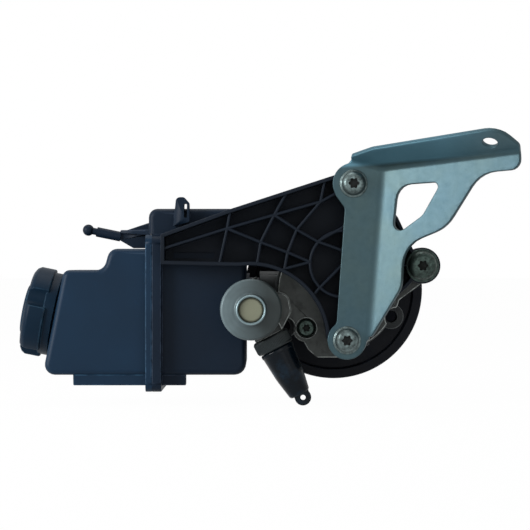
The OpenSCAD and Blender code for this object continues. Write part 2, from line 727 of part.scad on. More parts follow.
module solenoid_can() {
  color("#8c918f") valve_frame() rotate_extrude($fn = 64) polygon([
    [0, -13], [5, -13], [5, -12], [8.5, -12], [8.5, collar_z], [collar_r - 1, collar_z],
    [collar_r, collar_z + 1], [collar_r, 0.6], [collar_r - 0.8, 1.4], [7, 1.4], [7, 9], [0, 9]]);
}
module connector_body() {
  color("#1a1c1f") valve_frame() difference() {
    union() {
      translate([0, 0, 1.4]) cylinder(r = 9, h = 12.6);
      translate([0, 0, 13]) cylinder(r = 6.4, h = 12);
    }
    cylinder(r = 7, h = 9);
    translate([0, 0, 15]) cylinder(r = 5, h = 12);
  }
}
module terminal_pins() {
  color("#b9aa76") valve_frame() for (x = [-2, 2])
    translate([x - 0.7, -0.4, 15]) cube([1.4, 0.8, 8]);
}
module dust_cap() {
  color("#15171a") valve_frame() difference() {
    union() {
      rotate_extrude($fn = 64) polygon([
        [0, 1.8], [11.2, 1.8], [11.8, 2.6], [11.8, 4.4], [11.3, 5], [10, 20], [9.6, 23],
        [7.4, 35.2], [6.4, 36.6], [0, 36.6]]);
      translate([-0.8, 0, 39.2]) rotate([90, 0, 0]) cylinder(r = 5.6, h = 4.4, center = true);
      translate([-6.2, -2.2, 33]) cube([10.8, 4.4, 6]);
    }
    translate([0, 0, 0]) cylinder(r = 9.2, h = 14.4);
    translate([0, 0, 14]) cylinder(r = 6.6, h = 11.4);
    translate([-0.8, 0, 39.4]) rotate([90, 0, 0]) cylinder(r = 1.8, h = 12, center = true);
  }
}

// Support bracket: strip, web and flange, one sheet folded along three lines
module web_frame() {
  translate(fold_top) rotate([90, 0, 0]) rotate([0, 0, -fold_lean]) rotate([0, -web_bend, 0]) children();
}
module flange_frame() {
  web_frame() rotate([0, 0, crease_rise]) rotate([flange_bend, 0, 0]) children();
}
flange_eye = [84, 13];
module strip_outline() {
  foot = [fold_top[0] - fold_l*sin(fold_lean), fold_top[2] - fold_l*cos(fold_lean)];
  polygon([
    [fold_top[0], fold_top[2]], [9, 88.6], [5.4, 82], [upper_boss[0] - 13, upper_boss[1] + 4],
    [upper_boss[0] - 12, upper_boss[1] - 8], [4.2, 56], [-1.4, -22],
    [lower_boss[0] - 9, lower_boss[1]], lower_boss, foot]);
  translate(upper_boss) circle(r = 14);
  translate(lower_boss) circle(r = 13);
}
module web_outline() {
  difference() {
    polygon(soft([
      [-0.3, 0.7, 0.1], [-0.3, -fold_l + 0.3, 0.5], [3, -fold_l + 1.3, 2], [21.8, -79, 16],
      [20.9, -50.8, 20], [51, -37, 26], [72, 0.4, 22], [100.3, 4.2, 7],
      [98.4, 0.7 + 98.4*tan(crease_rise), 0.5]]));
    polygon(soft([
      [12.7, -10.9, 11], [11.7, -46.5, 5], [32.8, -30, 9], [44.5, -7.1, 3]]));
  }
}
module flange_outline() {
  polygon(soft([
    [0.1, -0.7, 0.3], [98.9, -0.7, 3], [102, 5, 7], [95, 25.6, 14], [2, 22, 20], [-15.8, 17.4, 3],
    [-18, 11.9, 1]]));
}
module support_bracket() {
  t = sheet_t;
  color("#8fa3ae") difference() {
    union() {
      slab(strip_y - t/2, strip_y + t/2) offset(r = -5) offset(delta = 5) strip_outline();
      web_frame() linear_extrude(t, center = true) web_outline();
      flange_frame() linear_extrude(t, center = true) flange_outline();
    }
    for (p = [upper_boss, lower_boss]) rod(bolt_r + 0.3, strip_y - 8, strip_y + 8, p);
    flange_frame() translate([flange_eye[0], flange_eye[1], 0]) cylinder(d = eye_d, h = 20, center = true);
  }
}
module pan_bolt(y, l, r) {
  difference() {
    union() {
      rod(bolt_r, y, y + l);
      turned([
        [0, y - 6.8], [r*0.46, y - 6.8], [r*0.66, y - 6.2], [r*0.8, y - 4.8], [r*0.86, y - 3],
        [r*0.87, y - 1.8], [r, y - 1.4], [r, y], [0, y]]);
    }
    star_socket(y - 6.8, 3.4);
  }
}
module bracket_bolts() {
  color("#c6c9c9") {
    at(upper_boss) pan_bolt(head_y, arm_h + sheet_t + 8, 9.4);
    at(lower_boss) pan_bolt(head_y, arm_h + sheet_t + cover_t - 2, 9.4);
  }
}
module lug_bolt() {
  color("#4b524c") at(right_boss) pan_bolt(arm_y0, arm_h + cover_t - 2, 11.2);
}
module upper_nut() {
  color("#8d8f90") at(upper_boss) difference() {
    union() {
      rod(8.6, back_y, back_y + 1.6);
      translate([0, back_y + 1, 0]) rotate([-90, 0, 0]) cylinder(r = 7.4, h = 6, $fn = 6);
    }
    rod(bolt_r, back_y - 1, back_y + 9);
  }
}

reservoir_cap_shell();
reservoir_pump_shell();
carrier_arm();
boss_sleeves();
filler_cap();
cap_seal();
strainer();
suction_seal();
pump_housing();
rear_cover();
cover_screws();
cover_seal();
cam_ring();
front_side_plate();
rear_side_plate();
dowel_pins();
rotor();
vane_1();
vane_2();
vane_3();
vane_4();
vane_5();
vane_6();
vane_7();
vane_8();
vane_9();
vane_10();
drive_shaft();
front_bush();
rear_bush();
shaft_seal();
retaining_ring();
rotor_circlip();
drive_hub();
pulley();
pulley_screws();
flow_spool();
flow_spring();
outlet_union();
union_washer();
port_plug();
solenoid_can();
connector_body();
terminal_pins();
dust_cap();
support_bracket();
bracket_bolts();
lug_bolt();
upper_nut();
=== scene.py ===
"""Dresses a vane-type power steering pump with its tank, ribbed arm, zinc bracket and pulley."""

import json
import math
from contextlib import contextmanager
from functools import partial

import bmesh
import bpy
import numpy as np
from mathutils import Matrix, Vector
from mathutils.geometry import delaunay_2d_cdt

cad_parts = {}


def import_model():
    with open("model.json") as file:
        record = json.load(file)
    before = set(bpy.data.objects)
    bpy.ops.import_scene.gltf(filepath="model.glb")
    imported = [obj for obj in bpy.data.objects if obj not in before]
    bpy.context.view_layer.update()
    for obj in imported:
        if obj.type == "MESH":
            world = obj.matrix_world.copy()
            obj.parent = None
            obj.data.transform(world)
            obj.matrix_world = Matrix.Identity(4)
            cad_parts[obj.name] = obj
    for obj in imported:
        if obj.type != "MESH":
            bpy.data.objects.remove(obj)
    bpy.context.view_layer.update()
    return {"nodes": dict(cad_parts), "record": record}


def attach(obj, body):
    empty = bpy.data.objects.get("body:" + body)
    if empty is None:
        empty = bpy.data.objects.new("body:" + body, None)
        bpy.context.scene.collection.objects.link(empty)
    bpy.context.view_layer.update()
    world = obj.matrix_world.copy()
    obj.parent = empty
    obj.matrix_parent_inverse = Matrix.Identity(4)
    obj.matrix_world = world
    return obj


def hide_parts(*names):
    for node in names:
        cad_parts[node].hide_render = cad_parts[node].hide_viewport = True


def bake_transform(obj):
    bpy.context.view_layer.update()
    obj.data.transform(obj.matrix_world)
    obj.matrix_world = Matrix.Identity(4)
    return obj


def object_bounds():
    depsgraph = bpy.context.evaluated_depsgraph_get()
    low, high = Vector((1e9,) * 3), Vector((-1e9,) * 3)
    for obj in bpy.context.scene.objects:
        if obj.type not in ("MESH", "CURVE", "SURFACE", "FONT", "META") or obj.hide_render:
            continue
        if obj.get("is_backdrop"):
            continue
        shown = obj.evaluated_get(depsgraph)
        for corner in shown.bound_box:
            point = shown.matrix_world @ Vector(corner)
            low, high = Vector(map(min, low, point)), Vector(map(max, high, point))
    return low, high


bl_info = {
    "name": "Power steering pump",
    "version": (1, 0, 0),
    "blender": (4, 5, 0),
    "location": "3D View > Sidebar > Pump",
    "description": "Finishes a power steering pump with its reservoir and bracket",
    "category": "Object",
}

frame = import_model()

MM = 0.001
RIGHT_ANGLE = math.pi / 2
UNION = (-0.0589, -0.0989, -0.0121)  # middle of the outlet union's rim
NODE_BODY = {n: b for b, ns in frame["record"]["behaviour"]["bodies"].items() for n in ns}


# Node graphs: values in Python expressions, every other node through Graph.node


class Wire:
    """An output socket that takes part in sums, so that 1 - mask adds a Math node."""

    def __init__(self, graph, end):
        self.graph, self.end = graph, end

    def _sum(self, operation, first, second):
        return self.graph.node("ShaderNodeMath", {0: first, 1: second}, operation=operation)

    def __add__(self, other):
        return self._sum("ADD", self, other)

    def __radd__(self, other):
        return self._sum("ADD", other, self)

    def __sub__(self, other):
        return self._sum("SUBTRACT", self, other)

    def __rsub__(self, other):
        return self._sum("SUBTRACT", other, self)

    def __mul__(self, other):
        return self._sum("MULTIPLY", self, other)


class Graph:
    """Adds nodes to one tree, with a value or a link for each socket named, and settings."""

    def __init__(self, tree):
        self.tree = tree

    def socket(self, sockets, key):
        if isinstance(key, int):
            return sockets[key]
        found = [s for s in sockets if s.identifier == key] or [s for s in sockets if s.name == key]
        return found[0]

    def node(self, kind, values=None, out=0, **settings):
        made = self.tree.nodes.new(kind)
        for key, value in settings.items():
            setattr(made, key, value)
        for key, value in (values or {}).items():
            self.feed(self.socket(made.inputs, key), value)
        return Wire(self, self.socket(made.outputs, out)) if made.outputs else None

    def feed(self, socket, value):
        if isinstance(value, Wire):
            self.tree.links.new(value.end, socket)
        elif isinstance(value, list):
            for one in value:
                self.tree.links.new(one.end, socket)
        else:
            socket.default_value = value


class Finish(Graph):
    """A material on Object coordinates whose varying values end in one Principled shader."""

    def __init__(self, name, **constants):
        self.material = bpy.data.materials.new(name)
        self.material.use_nodes = True
        super().__init__(self.material.node_tree)
        self.shader = next(n for n in self.tree.nodes if n.type == "BSDF_PRINCIPLED")
        for key, value in constants.items():
            self.shader.inputs[key.replace("_", " ")].default_value = value
        self.place = self.node("ShaderNodeTexCoord", out="Object")

    def noise(self, scale, detail=3.0, rough=0.55, stretch=None):
        place = self.place
        if stretch:
            place = self.node("ShaderNodeMapping", {"Vector": place, "Scale": stretch})
        return self.node("ShaderNodeTexNoise", {
            "Vector": place, "Scale": scale, "Detail": detail, "Roughness": rough})

    def band(self, value, low, high, dark=0.0, light=1.0):
        return self.node("ShaderNodeMapRange", {
            "Value": value, "From Min": low, "From Max": high, "To Min": dark, "To Max": light})

    def from_axis(self, middle):
        """Distance from a line along Y through middle."""
        vector = "ShaderNodeVectorMath"
        offset = self.node(vector, {0: self.place, 1: middle}, operation="SUBTRACT")
        flat = self.node(vector, {0: offset, 1: (1, 0, 1)}, operation="MULTIPLY")
        return self.node(vector, {0: flat}, "Value", operation="LENGTH")

    def along(self, axis):
        """How far a point lies along one axis of the part."""
        return self.node("ShaderNodeSeparateXYZ", {"Vector": self.place}, axis)

    def mark(self, name):
        """The value that the mesh carries under a name."""
        return self.node("ShaderNodeAttribute", out="Fac", attribute_name=name)

    def patches(self, low, high, *noise):
        """Noise cut to a band, from nought at low to one at high."""
        return self.band(self.noise(*noise), low, high)

    def edge_wear_and_highlight(self, low, high, scale):
        """Patches along the rounded edges, lightened as scuffing, and on the mouldings and castings
        also as a painted highlight.
        """
        return self.mark("worn") * self.patches(low, high, scale, 4, 0.7)

    def blend(self, factor, first, second):
        sockets = {"Factor_Float": factor, "A_Color": first, "B_Color": second}
        return self.node("ShaderNodeMix", sockets, "Result_Color", data_type="RGBA")

    def bump(self, height, strength, depth):
        return self.node("ShaderNodeBump", {
            "Height": height, "Strength": strength, "Distance": depth})

    def set(self, **wires):
        for key, wire in wires.items():
            self.feed(self.shader.inputs[key.replace("_", " ")], wire)
        return self.material


class Pattern(Graph):
    """A Geometry Nodes tree with named inputs, run once and turned into a plain mesh."""

    KINDS = (
        (float, "NodeSocketFloat"), (int, "NodeSocketInt"),
        (bpy.types.Object, "NodeSocketObject"), (bpy.types.Material, "NodeSocketMaterial"))

    def __init__(self, name, **inputs):
        super().__init__(bpy.data.node_groups.new(name, "GeometryNodeTree"))
        face = self.tree.interface
        for way in ("INPUT", "OUTPUT"):
            face.new_socket("Geometry", in_out=way, socket_type="NodeSocketGeometry")
        self.values = {}
        for key, value in inputs.items():
            kind = next(k for t, k in self.KINDS if isinstance(value, t))
            end = face.new_socket(key.replace("_", " "), in_out="INPUT", socket_type=kind)
            self.values[end.identifier] = value
        self.entry = self.tree.nodes.new("NodeGroupInput")

    def inlet(self, name):
        return Wire(self, self.socket(self.entry.outputs, name))

    def made(self, start, result):
        """The mesh that the tree makes of a start mesh."""
        whole = self.node("GeometryNodeRealizeInstances", {"Geometry": result})
        whole = self.node("GeometryNodeSetMaterial", {
            "Geometry": whole, "Material": self.inlet("Finish")})
        self.node("NodeGroupOutput", {0: whole})
        obj = added(self.tree.name, start)
        run = obj.modifiers.new("pattern", "NODES")
        run.node_group = self.tree
        for key, value in self.values.items():
            run[key] = value
        mesh = evaluated(obj)
        obj.modifiers.remove(run)
        bpy.data.objects.remove(obj)
        return mesh


def added(name, data):
    """A new object in the scene."""
    obj = bpy.data.objects.new(name, data)
    bpy.context.scene.collection.objects.link(obj)
    return obj


def evaluated(obj):
    """A plain mesh of what an object's modifiers make."""
    deps = bpy.context.evaluated_depsgraph_get()
    return bpy.data.meshes.new_from_object(obj.evaluated_get(deps), depsgraph=deps)


def srgb(r, g, b):
    """Colour written as 0 to 255 in sRGB, as Blender's linear RGBA."""
    line = [c / 255 / 12.92 if c <= 10 else ((c / 255 + 0.055) / 1.055) ** 2.4 for c in (r, g, b)]
    return (*line, 1.0)


def shade(colour, k):
    return (*[c * k for c in colour[:3]], 1.0)


def tint(colour, r, g, b):
    return (colour[0] * r, colour[1] * g, colour[2] * b, 1.0)


FINISHES = {}


def moulded(name, colour, gloss=0.46, grain=0.3, shine=0.14):
    """Satin moulded plastic: fine grain, faint flow marks and dusty scuffs."""
    f = Finish(name, Specular_IOR_Level=shine)
    flow = f.patches(0.35, 0.7, 16, 2)
    dust = f.patches(0.6, 0.8, 210, 4, 0.7)
    speck = f.patches(0.67, 0.75, 1500, 2)
    base = f.blend(flow, shade(colour, 0.86), shade(colour, 1.14))
    base = f.blend(dust * 0.16 + speck * 0.12, base, shade(colour, 2.4))
    # Painted highlight and scuffs: the rounded edges are lightened in patches, partly scuffed,
    # partly in place of the light they catch.
    base = f.blend(f.edge_wear_and_highlight(0.38, 0.6, 140) * 0.6, base, tint(colour, 8.0, 4.6, 3.6))
    rough = gloss + flow * 0.06 + dust * 0.12
    grain_height = f.noise(2600, 2) * 0.7 + f.noise(700, 2) * 0.3
    return f.set(Base_Color=base, Roughness=rough, Normal=f.bump(grain_height, grain, 0.0001))


def rubbery(name, colour, gloss=0.5, shine=0.12, haze_and_sheen=1.8):
    """Rubber with pale chalky patches; made much paler, as on the glossy dust cap, the patches are
    a painted sheen.
    """
    f = Finish(name, Specular_IOR_Level=shine)
    bloom_and_sheen = f.patches(0.45, 0.75, 60, 4, 0.6)
    base = f.blend(bloom_and_sheen, colour, shade(colour, haze_and_sheen))
    rough = gloss + bloom_and_sheen * 0.15
    return f.set(Base_Color=base, Roughness=rough, Normal=f.bump(f.noise(1800, 3), 0.25, 0.0001))


def cast_metal(name, colour, worn=0.85):
    """Sand-textured cast alloy, grey-brown with oily patches."""
    f = Finish(name, Specular_IOR_Level=0.2)
    patch = f.patches(0.35, 0.7, 45, 4, 0.6)
    grime = f.patches(0.5, 0.7, 120, 5, 0.7)
    base = f.blend(patch, shade(colour, 0.72), shade(colour, 1.25))
    base = f.blend(grime * 0.6, base, shade(colour, 0.35))
    # Painted highlight and scuffs: the rounded edges are lightened in patches, partly scuffed,
    # partly in place of the light they catch.
    base = f.blend(f.edge_wear_and_highlight(0.36, 0.55, 240) * worn, base, shade(colour, 6.0))
    metal = 0.5 - grime * 0.35
    rough = 0.5 + patch * 0.14 + grime * 0.12
    sand = f.noise(900, 4, 0.65)
    return f.set(Base_Color=base, Metallic=metal, Roughness=rough, Normal=f.bump(sand, 0.5, 0.0003))


def plated(name, colour, gloss=0.34, metal=0.85, sheet=False):
    """Zinc-plated steel: cloudy tint, mottle, streaks and scratches.

    The folded sheet has dull cut edges, and its flange above the upper crease is lightened and
    tinted bluer as painted light, in place of the light its underside catches.
    """
    f = Finish(name, Specular_IOR_Level=0.5)
    cloud = f.patches(0.32, 0.7, 24, 4, 0.6)
    mottle = f.patches(0.35, 0.7, 260, 4, 0.7)
    streak = f.noise(420, 2, 0.5, (1.0, 1.0, 0.06))
    scratch = f.band(f.noise(900, 2, 0.5, (1.0, 1.0, 0.03)), 0.68, 0.74)
    speck = f.patches(0.64, 0.72, 620, 3, 0.6)
    base = f.blend(cloud, tint(colour, 0.84, 0.97, 1.08), tint(colour, 1.12, 1.05, 0.97))
    base = f.blend(mottle * 0.14 + speck * 0.3, base, shade(colour, 0.5))
    rough = gloss + mottle * 0.04 + streak * 0.05 - scratch * 0.05
    if sheet:
        edge, out = f.mark("cut"), f.along("X")
        rise, low, high = 0.07, 0.0825, 0.0845  # the upper crease
        # Painted light: the flange above the upper crease is lightened and tinted bluer, less
        # towards its right end, in place of the light falling on it.
        above = f.band(f.along("Z") - out * rise, low, high)
        flange = above * (1 - f.band(out, 0.066, 0.1) * 0.8)
        base = f.blend(flange * 0.9, base, tint(colour, 2.4, 2.9, 3.3))
        base = f.blend(edge * 0.3, base, shade(colour, 0.5))
        rough = rough + edge * 0.1
    height = streak * 0.5 + mottle * 0.3 + scratch * 0.2
    return f.set(
        Base_Color=base, Metallic=metal + mottle * 0.08, Roughness=rough,
        Normal=f.bump(height, 0.16, 0.0001))


def weathered(name, colour, gloss=0.32):
    """Bolt heads whose plating has rubbed through: bright metal under grey stains, and star sockets
    painted near black as shade.
    """
    f = Finish(name, Specular_IOR_Level=0.3)
    stain = f.patches(0.42, 0.62, 330, 5, 0.7)
    spot = f.patches(0.58, 0.7, 900, 3, 0.6)
    socket = f.mark("cut")
    base = f.blend(stain, shade(colour, 1.2), shade(colour, 0.5))
    base = f.blend(spot * 0.5, base, shade(colour, 0.25))
    # Painted shade: the star socket is darkened almost to black, as the shade inside it.
    base = f.blend(socket * 0.94, base, shade(colour, 0.04))
    rough = gloss + stain * 0.2 + spot * 0.1 + socket * 0.2
    height = stain * 0.7 + spot * 0.3
    return f.set(
        Base_Color=base, Metallic=0.9 - stain * 0.25 - socket * 0.5, Roughness=rough,
        Normal=f.bump(1 - height, 0.22, 0.00012))


def machined(name, colour, gloss=0.3, metal=0.95):
    """Bright machined metal with a fine lay and faint stains."""
    f = Finish(name)
    stain = f.patches(0.45, 0.72, 150, 4, 0.65)
    lay = f.noise(1600, 2)
    base = f.blend(stain, colour, shade(colour, 0.82))
    rough = gloss + stain * 0.14 + lay * 0.06
    return f.set(
        Base_Color=base, Metallic=metal - stain * 0.1, Roughness=rough,
        Normal=f.bump(lay, 0.12, 0.00006))


def faced(name, colour, middle, gloss=0.32):
    """A lathe-faced metal disc: rings about its middle, a bright lip with painted highlight, and
    painted shade on its right side.
    """
    f = Finish(name, Specular_IOR_Level=0.3)
    reach = f.from_axis(middle)
    spread = f.node("ShaderNodeCombineXYZ", {"X": reach})
    ring = f.node("ShaderNodeTexNoise", {"Vector": spread, "Scale": 2400.0, "Detail": 2.0})
    wide = f.node("ShaderNodeTexNoise", {"Vector": spread, "Scale": 420.0, "Detail": 2.0})
    stain = f.patches(0.4, 0.7, 90, 4, 0.65)
    # Painted shade: the disc is darkened towards its right side, standing in for the shadow cast
    # across it.
    drift = f.noise(60, 3) * 0.012
    painted_shade_right = f.band(f.along("X") + drift, middle[0] - 0.012, middle[0] + 0.016)
    # The lip inside the rim is brighter bare metal, lightened further as a painted highlight.
    lip = f.band(reach, 0.0099, 0.0101, 1.0, 0.0)
    base = f.blend(wide, shade(colour, 0.8), shade(colour, 1.2))
    base = f.blend(stain * 0.35, base, shade(colour, 0.6))
    base = f.blend(painted_shade_right * 0.95, base, tint(colour, 0.14, 0.15, 0.14))
    base = f.blend(lip * 0.6, base, shade(colour, 2.2))
    rough = gloss + stain * 0.12 + ring * 0.08
    return f.set(
        Base_Color=base, Metallic=0.22 - stain * 0.1 + lip * 0.5, Roughness=rough,
        Normal=f.bump(ring * 0.7 + wide * 0.3, 0.22, 0.00008))


def plugged(name, colour, middle):
    """Cloth-like plug with painted shade round its edge, where it sits sunk in the tube."""
    f = Finish(name, Specular_IOR_Level=0.18)
    weave = f.noise(1300, 3, 0.6)
    # Painted shade: a dark ring round the plug's edge, where it meets the tube wall.
    edge_shade = f.band(f.from_axis(middle) + f.noise(500, 3) * 0.0006, 0.0070, 0.0078)
    base = f.blend(weave, shade(colour, 0.88), shade(colour, 1.1))
    base = f.blend(edge_shade * 0.85, base, shade(colour, 0.22))
    return f.set(Base_Color=base, Roughness=0.6 + weave * 0.1, Normal=f.bump(weave, 0.3, 0.00015))


def painted(name, colour, gloss=0.42, shine=0.08):
    """Black dip paint with orange peel and rubbed dust."""
    f = Finish(name, Specular_IOR_Level=shine)
    rub = f.patches(0.55, 0.75, 90, 5, 0.7)
    peel = f.noise(420, 2)
    base = f.blend(rub * 0.4, colour, shade(colour, 2.2))
    base = f.blend(f.edge_wear_and_highlight(0.5, 0.65, 180) * 0.6, base, shade(colour, 6.0))
    rough = gloss + rub * 0.16
    return f.set(Base_Color=base, Roughness=rough, Normal=f.bump(peel, 0.18, 0.00018))


def fibre(name, colour):
    """Woven filter gauze."""
    f = Finish(name, Specular_IOR_Level=0.3)
    warp = f.noise(1400, 1, 0.4, (1.0, 0.1, 0.1))
    weft = f.noise(1400, 1, 0.4, (0.1, 1.0, 1.0))
    cross = f.band(warp * weft, 0.15, 0.4)
    base = f.blend(cross, shade(colour, 0.7), colour)
    return f.set(Base_Color=base, Roughness=0.7 + cross * 0.1, Normal=f.bump(cross, 0.4, 0.0002))


# Meshes


def piece(name, mesh, body, finish, *nodes, slot=None):
    """A finished piece at the origin that rides on a body, if given, in place of CAD nodes."""
    obj = added(name, mesh)
    mesh.materials.clear()
    mesh.materials.append(finish)
    if body:
        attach(obj, body)
    if nodes:
        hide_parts(*nodes)
    return obj


@contextmanager
def opened(mesh):
    """A mesh's edit form, written back at the end."""
    bm = bmesh.new()
    bm.from_mesh(mesh)
    yield bm
    bm.to_mesh(mesh)
    bm.free()


def marked(mesh, name, domain, values):
    """Stores a value for each point or face under a name."""
    mesh.attributes.new(name, "FLOAT", domain).data.foreach_set("value", values)


def welded(node, flats=True):
    """A copy of a CAD node's mesh with its triangles joined and, if flats, its flat faces whole."""
    mesh = frame["nodes"][node].data.copy()
    for layer in ("custom_normal", "sharp_edge", "sharp_face"):
        if layer in mesh.attributes:
            mesh.attributes.remove(mesh.attributes[layer])
    with opened(mesh) as bm:
        bmesh.ops.remove_doubles(bm, verts=bm.verts, dist=3e-6)
        bmesh.ops.dissolve_degenerate(bm, edges=bm.edges, dist=2e-6)
        if flats:
            bend = math.radians(0.5)
            bmesh.ops.dissolve_limit(bm, angle_limit=bend, verts=bm.verts, edges=bm.edges)
    return mesh


def softened(obj, width, segments=2, angle=36, least=0.0):
    """Rounds a piece's long enough sharp edges, marks them for scuffing and painted highlight, and
    shades its flats flat.
    """
    with opened(obj.data) as bm:
        weight = bm.edges.layers.float.new("bevel_weight_edge")
        for e in bm.edges:
            sharp = e.is_manifold and e.calc_face_angle() > math.radians(angle)
            e.smooth = not (sharp and e.calc_length() <= least)
            e[weight] = float(sharp and e.calc_length() > least)
    # The rounds take a second material slot, which tells them from the other faces
    obj.data.materials.append(None)
    round_off = obj.modifiers.new("edges", "BEVEL")
    round_off.width = width
    round_off.segments = segments
    round_off.limit_method = "WEIGHT"
    round_off.use_clamp_overlap = False
    round_off.miter_outer = "MITER_ARC"
    round_off.material = 1
    mesh = evaluated(obj)
    obj.modifiers.remove(round_off)
    obj.data = mesh
    rounds = [float(f.material_index) for f in mesh.polygons]
    mesh.polygons.foreach_set("material_index", [0] * len(rounds))
    mesh.materials.pop(index=1)
    mesh.attributes.remove(mesh.attributes["bevel_weight_edge"])
    marked(mesh, "worn", "FACE", rounds)
    return flat_shaded(obj)


def flat_shaded(obj):
    """Lets the large faces set the shading, so that flats look flat beside rounded edges."""
    flats = obj.modifiers.new("flats", "WEIGHTED_NORMAL")
    flats.keep_sharp = True
    return obj


def dressed(node, finish, width, segments=2, angle=36, slot=None, flats=True, least=0.0):
    """The CAD node's own form with softened edges, in its finish."""
    obj = piece(node + "_piece", welded(node, flats), NODE_BODY[node], finish, node, slot=slot)
    obj.data.shade_smooth()
    return softened(obj, width, segments, angle, least)


def crisp(obj, angle=40):
    """Smooth shading with sharp edges kept and the flats shaded flat."""
    obj.data.shade_smooth()
    obj.data.set_sharp_from_angle(angle=math.radians(angle))
    return flat_shaded(obj)


def closed(name, points, faces):
    """A mesh of shared points with all its faces turned outwards."""
    mesh = bpy.data.meshes.new(name)
    mesh.from_pydata(points, [], faces)
    with opened(mesh) as bm:
        bmesh.ops.recalc_face_normals(bm, faces=bm.faces)
    return mesh


def joined(name, *meshes):
    """Several meshes as one."""
    bm = bmesh.new()
    for mesh in meshes:
        bm.from_mesh(mesh)
    whole = bpy.data.meshes.new(name)
    bm.to_mesh(whole)
    bm.free()
    return whole


def before(ring):
    """For each entry of a ring, the one before it."""
    return ring[-1:] + ring[:-1]


def after(ring):
    """For each entry of a ring, the one after it."""
    return ring[1:] + ring[:1]


def chained(steps):
    """Rings of numbers, followed from each number to the next until they close."""
    rings = []
    while steps:
        start = next(iter(steps))
        ring, at = [start], steps.pop(start)
        while at != start:
            ring.append(at)
            at = steps.pop(at)
        rings.append(ring)
    return rings


def front_loops(mesh, *planes):
    """For each plane, a normal and a level, the outlines in X and Z of the faces that lie in it."""
    found = []
    with opened(mesh) as bm:
        bm.normal_update()
        bm.verts.ensure_lookup_table()
        bm.verts.index_update()
        flat = lambda v: Vector((v.co.x, v.co.z))
        for normal, level in planes:
            facing = [f for f in bm.faces if f.normal.dot(normal) > 0.9995]
            chosen = [f for f in facing if abs(f.calc_center_median().dot(normal) - level) < 4e-5]
            known = set(chosen)
            steps = {}
            for loop in (lp for f in chosen for lp in f.loops):
                if len([f for f in loop.edge.link_faces if f in known]) == 1:
                    steps[loop.vert.index] = loop.link_loop_next.vert.index
            found.append([[flat(bm.verts[i]) for i in ring] for ring in chained(steps)])
    return found


def area_of(loop):
    return sum(a.cross(b) for a, b in zip(loop, after(loop))) / 2


def cleaned(loop, least=6e-5):
    """The loop without points that lie almost on the one before."""
    return [b for a, b in zip(before(loop), loop) if (b - a).length > least]


def settled(loop, thin):
    """The loop after thinning it until nothing more goes."""
    kept = thin(loop)
    while len(kept) < len(loop):
        loop, kept = kept, thin(kept)
    return loop


def unfolded(loop):
    """The loop without points at which it doubles back on itself."""
    ahead = lambda a, b, c: (b - a).normalized().dot((c - b).normalized()) > -0.5
    thin = lambda lp: [b for a, b, c in zip(before(lp), lp, after(lp)) if ahead(a, b, c)]
    return settled(loop, thin)


def inset(loop, e):
    """The loop moved to its left by e, with mitred corners."""
    out = []
    for a, b, c in zip(before(loop), loop, after(loop)):
        u, v = (b - a).normalized(), (c - b).normalized()
        m, n = Vector((-u.y, u.x)), Vector((-v.y, v.x))
        out.append(b + (m + n) * (e / max(0.5, 1 + m.dot(n))))
    return out


def relaxed(loop, e):
    """The loop without the points at which its inset by e would fold back."""
    def thin(lp):
        inner = inset(lp, e)
        ends = zip(lp, after(lp), inner, after(inner))
        return [a for a, b, p, q in ends if (q - p).dot(b - a) > 0.1 * (b - a).length_squared]
    return settled(loop, thin)


def filled(loops, extra=()):
    """Triangles between loops that keep the material on their left, and each loop's numbers."""
    outer = [area_of(lp) > 0 for lp in loops]
    points, faces, ways = [], [], [None] * len(loops)
    for k in sorted(range(len(loops)), key=lambda k: not outer[k]):
        faces.append(list(range(len(points), len(points) + len(loops[k]))))
        points += loops[k] if outer[k] else loops[k][::-1]
        ways[k] = faces[-1] if outer[k] else faces[-1][::-1]
    verts, _, tris, sources, _, owners = delaunay_2d_cdt(points + list(extra), [], faces, 0, 1e-7)
    solid = lambda own: sum(1 if o < sum(outer) else -1 for o in own) > 0
    place = {i: k for k, ids in enumerate(sources) for i in ids}
    tris = [t for t, own in zip(tris, owners) if solid(own)]
    return verts, tris, [[place[i] for i in way] for way in ways]


def soft_slab(name, loops, front, back, edge, steps=3):
    """A slab between two levels of Y whose front edges are rounded."""
    loops = [cleaned(lp) for lp in loops]
    angles = [RIGHT_ANGLE * k / steps for k in range(steps + 1)]
    rows = [(edge * (1 - math.sin(a)), front + edge * (1 - math.cos(a))) for a in angles]
    verts, tris, ways = filled([inset(lp, rows[0][0]) for lp in loops])
    points = [(v.x, front, v.y) for v in verts]
    faces = [list(t) for t in tris]
    ends = []
    for lp, way in zip(loops, ways):
        levels = rows[1:] + [(0.0, back)]
        wall = [[(v.x, y, v.y) for v in inset(lp, e)] for e, y in levels]
        ends.append(skirted(points, faces, way, wall))
    verts, tris, ways = filled(loops)
    number = {a: b for way, end in zip(ways, ends) for a, b in zip(way, end)}
    faces += [[number[i] for i in t] for t in tris]
    return closed(name, points, faces)


def sides(lower, upper):
    """Quads between two rings of the same length."""
    return [list(q) for q in zip(lower, after(lower), after(upper), upper)]


def skirted(points, faces, ring, rows):
    """Adds rows of points to a ring, with quads between them, and gives the last row's numbers."""
    for row in rows:
        numbers = list(range(len(points), len(points) + len(row)))
        points += row
        faces += sides(ring, numbers)
        ring = numbers
    return ring


def stacked(name, rows):
    """A closed mesh of rows of points, each row a ring."""
    points, faces = list(rows[0]), []
    first = list(range(len(points)))
    last = skirted(points, faces, first, rows[1:])
    return closed(name, points, faces + [first, last])


def inside(point, loop):
    """Whether a point lies within a loop."""
    hit = False
    for a, b in zip(loop, after(loop)):
        if (a.y > point.y) != (b.y > point.y):
            hit ^= point.x < a.x + (b.x - a.x) * (point.y - a.y) / (b.y - a.y)
    return hit


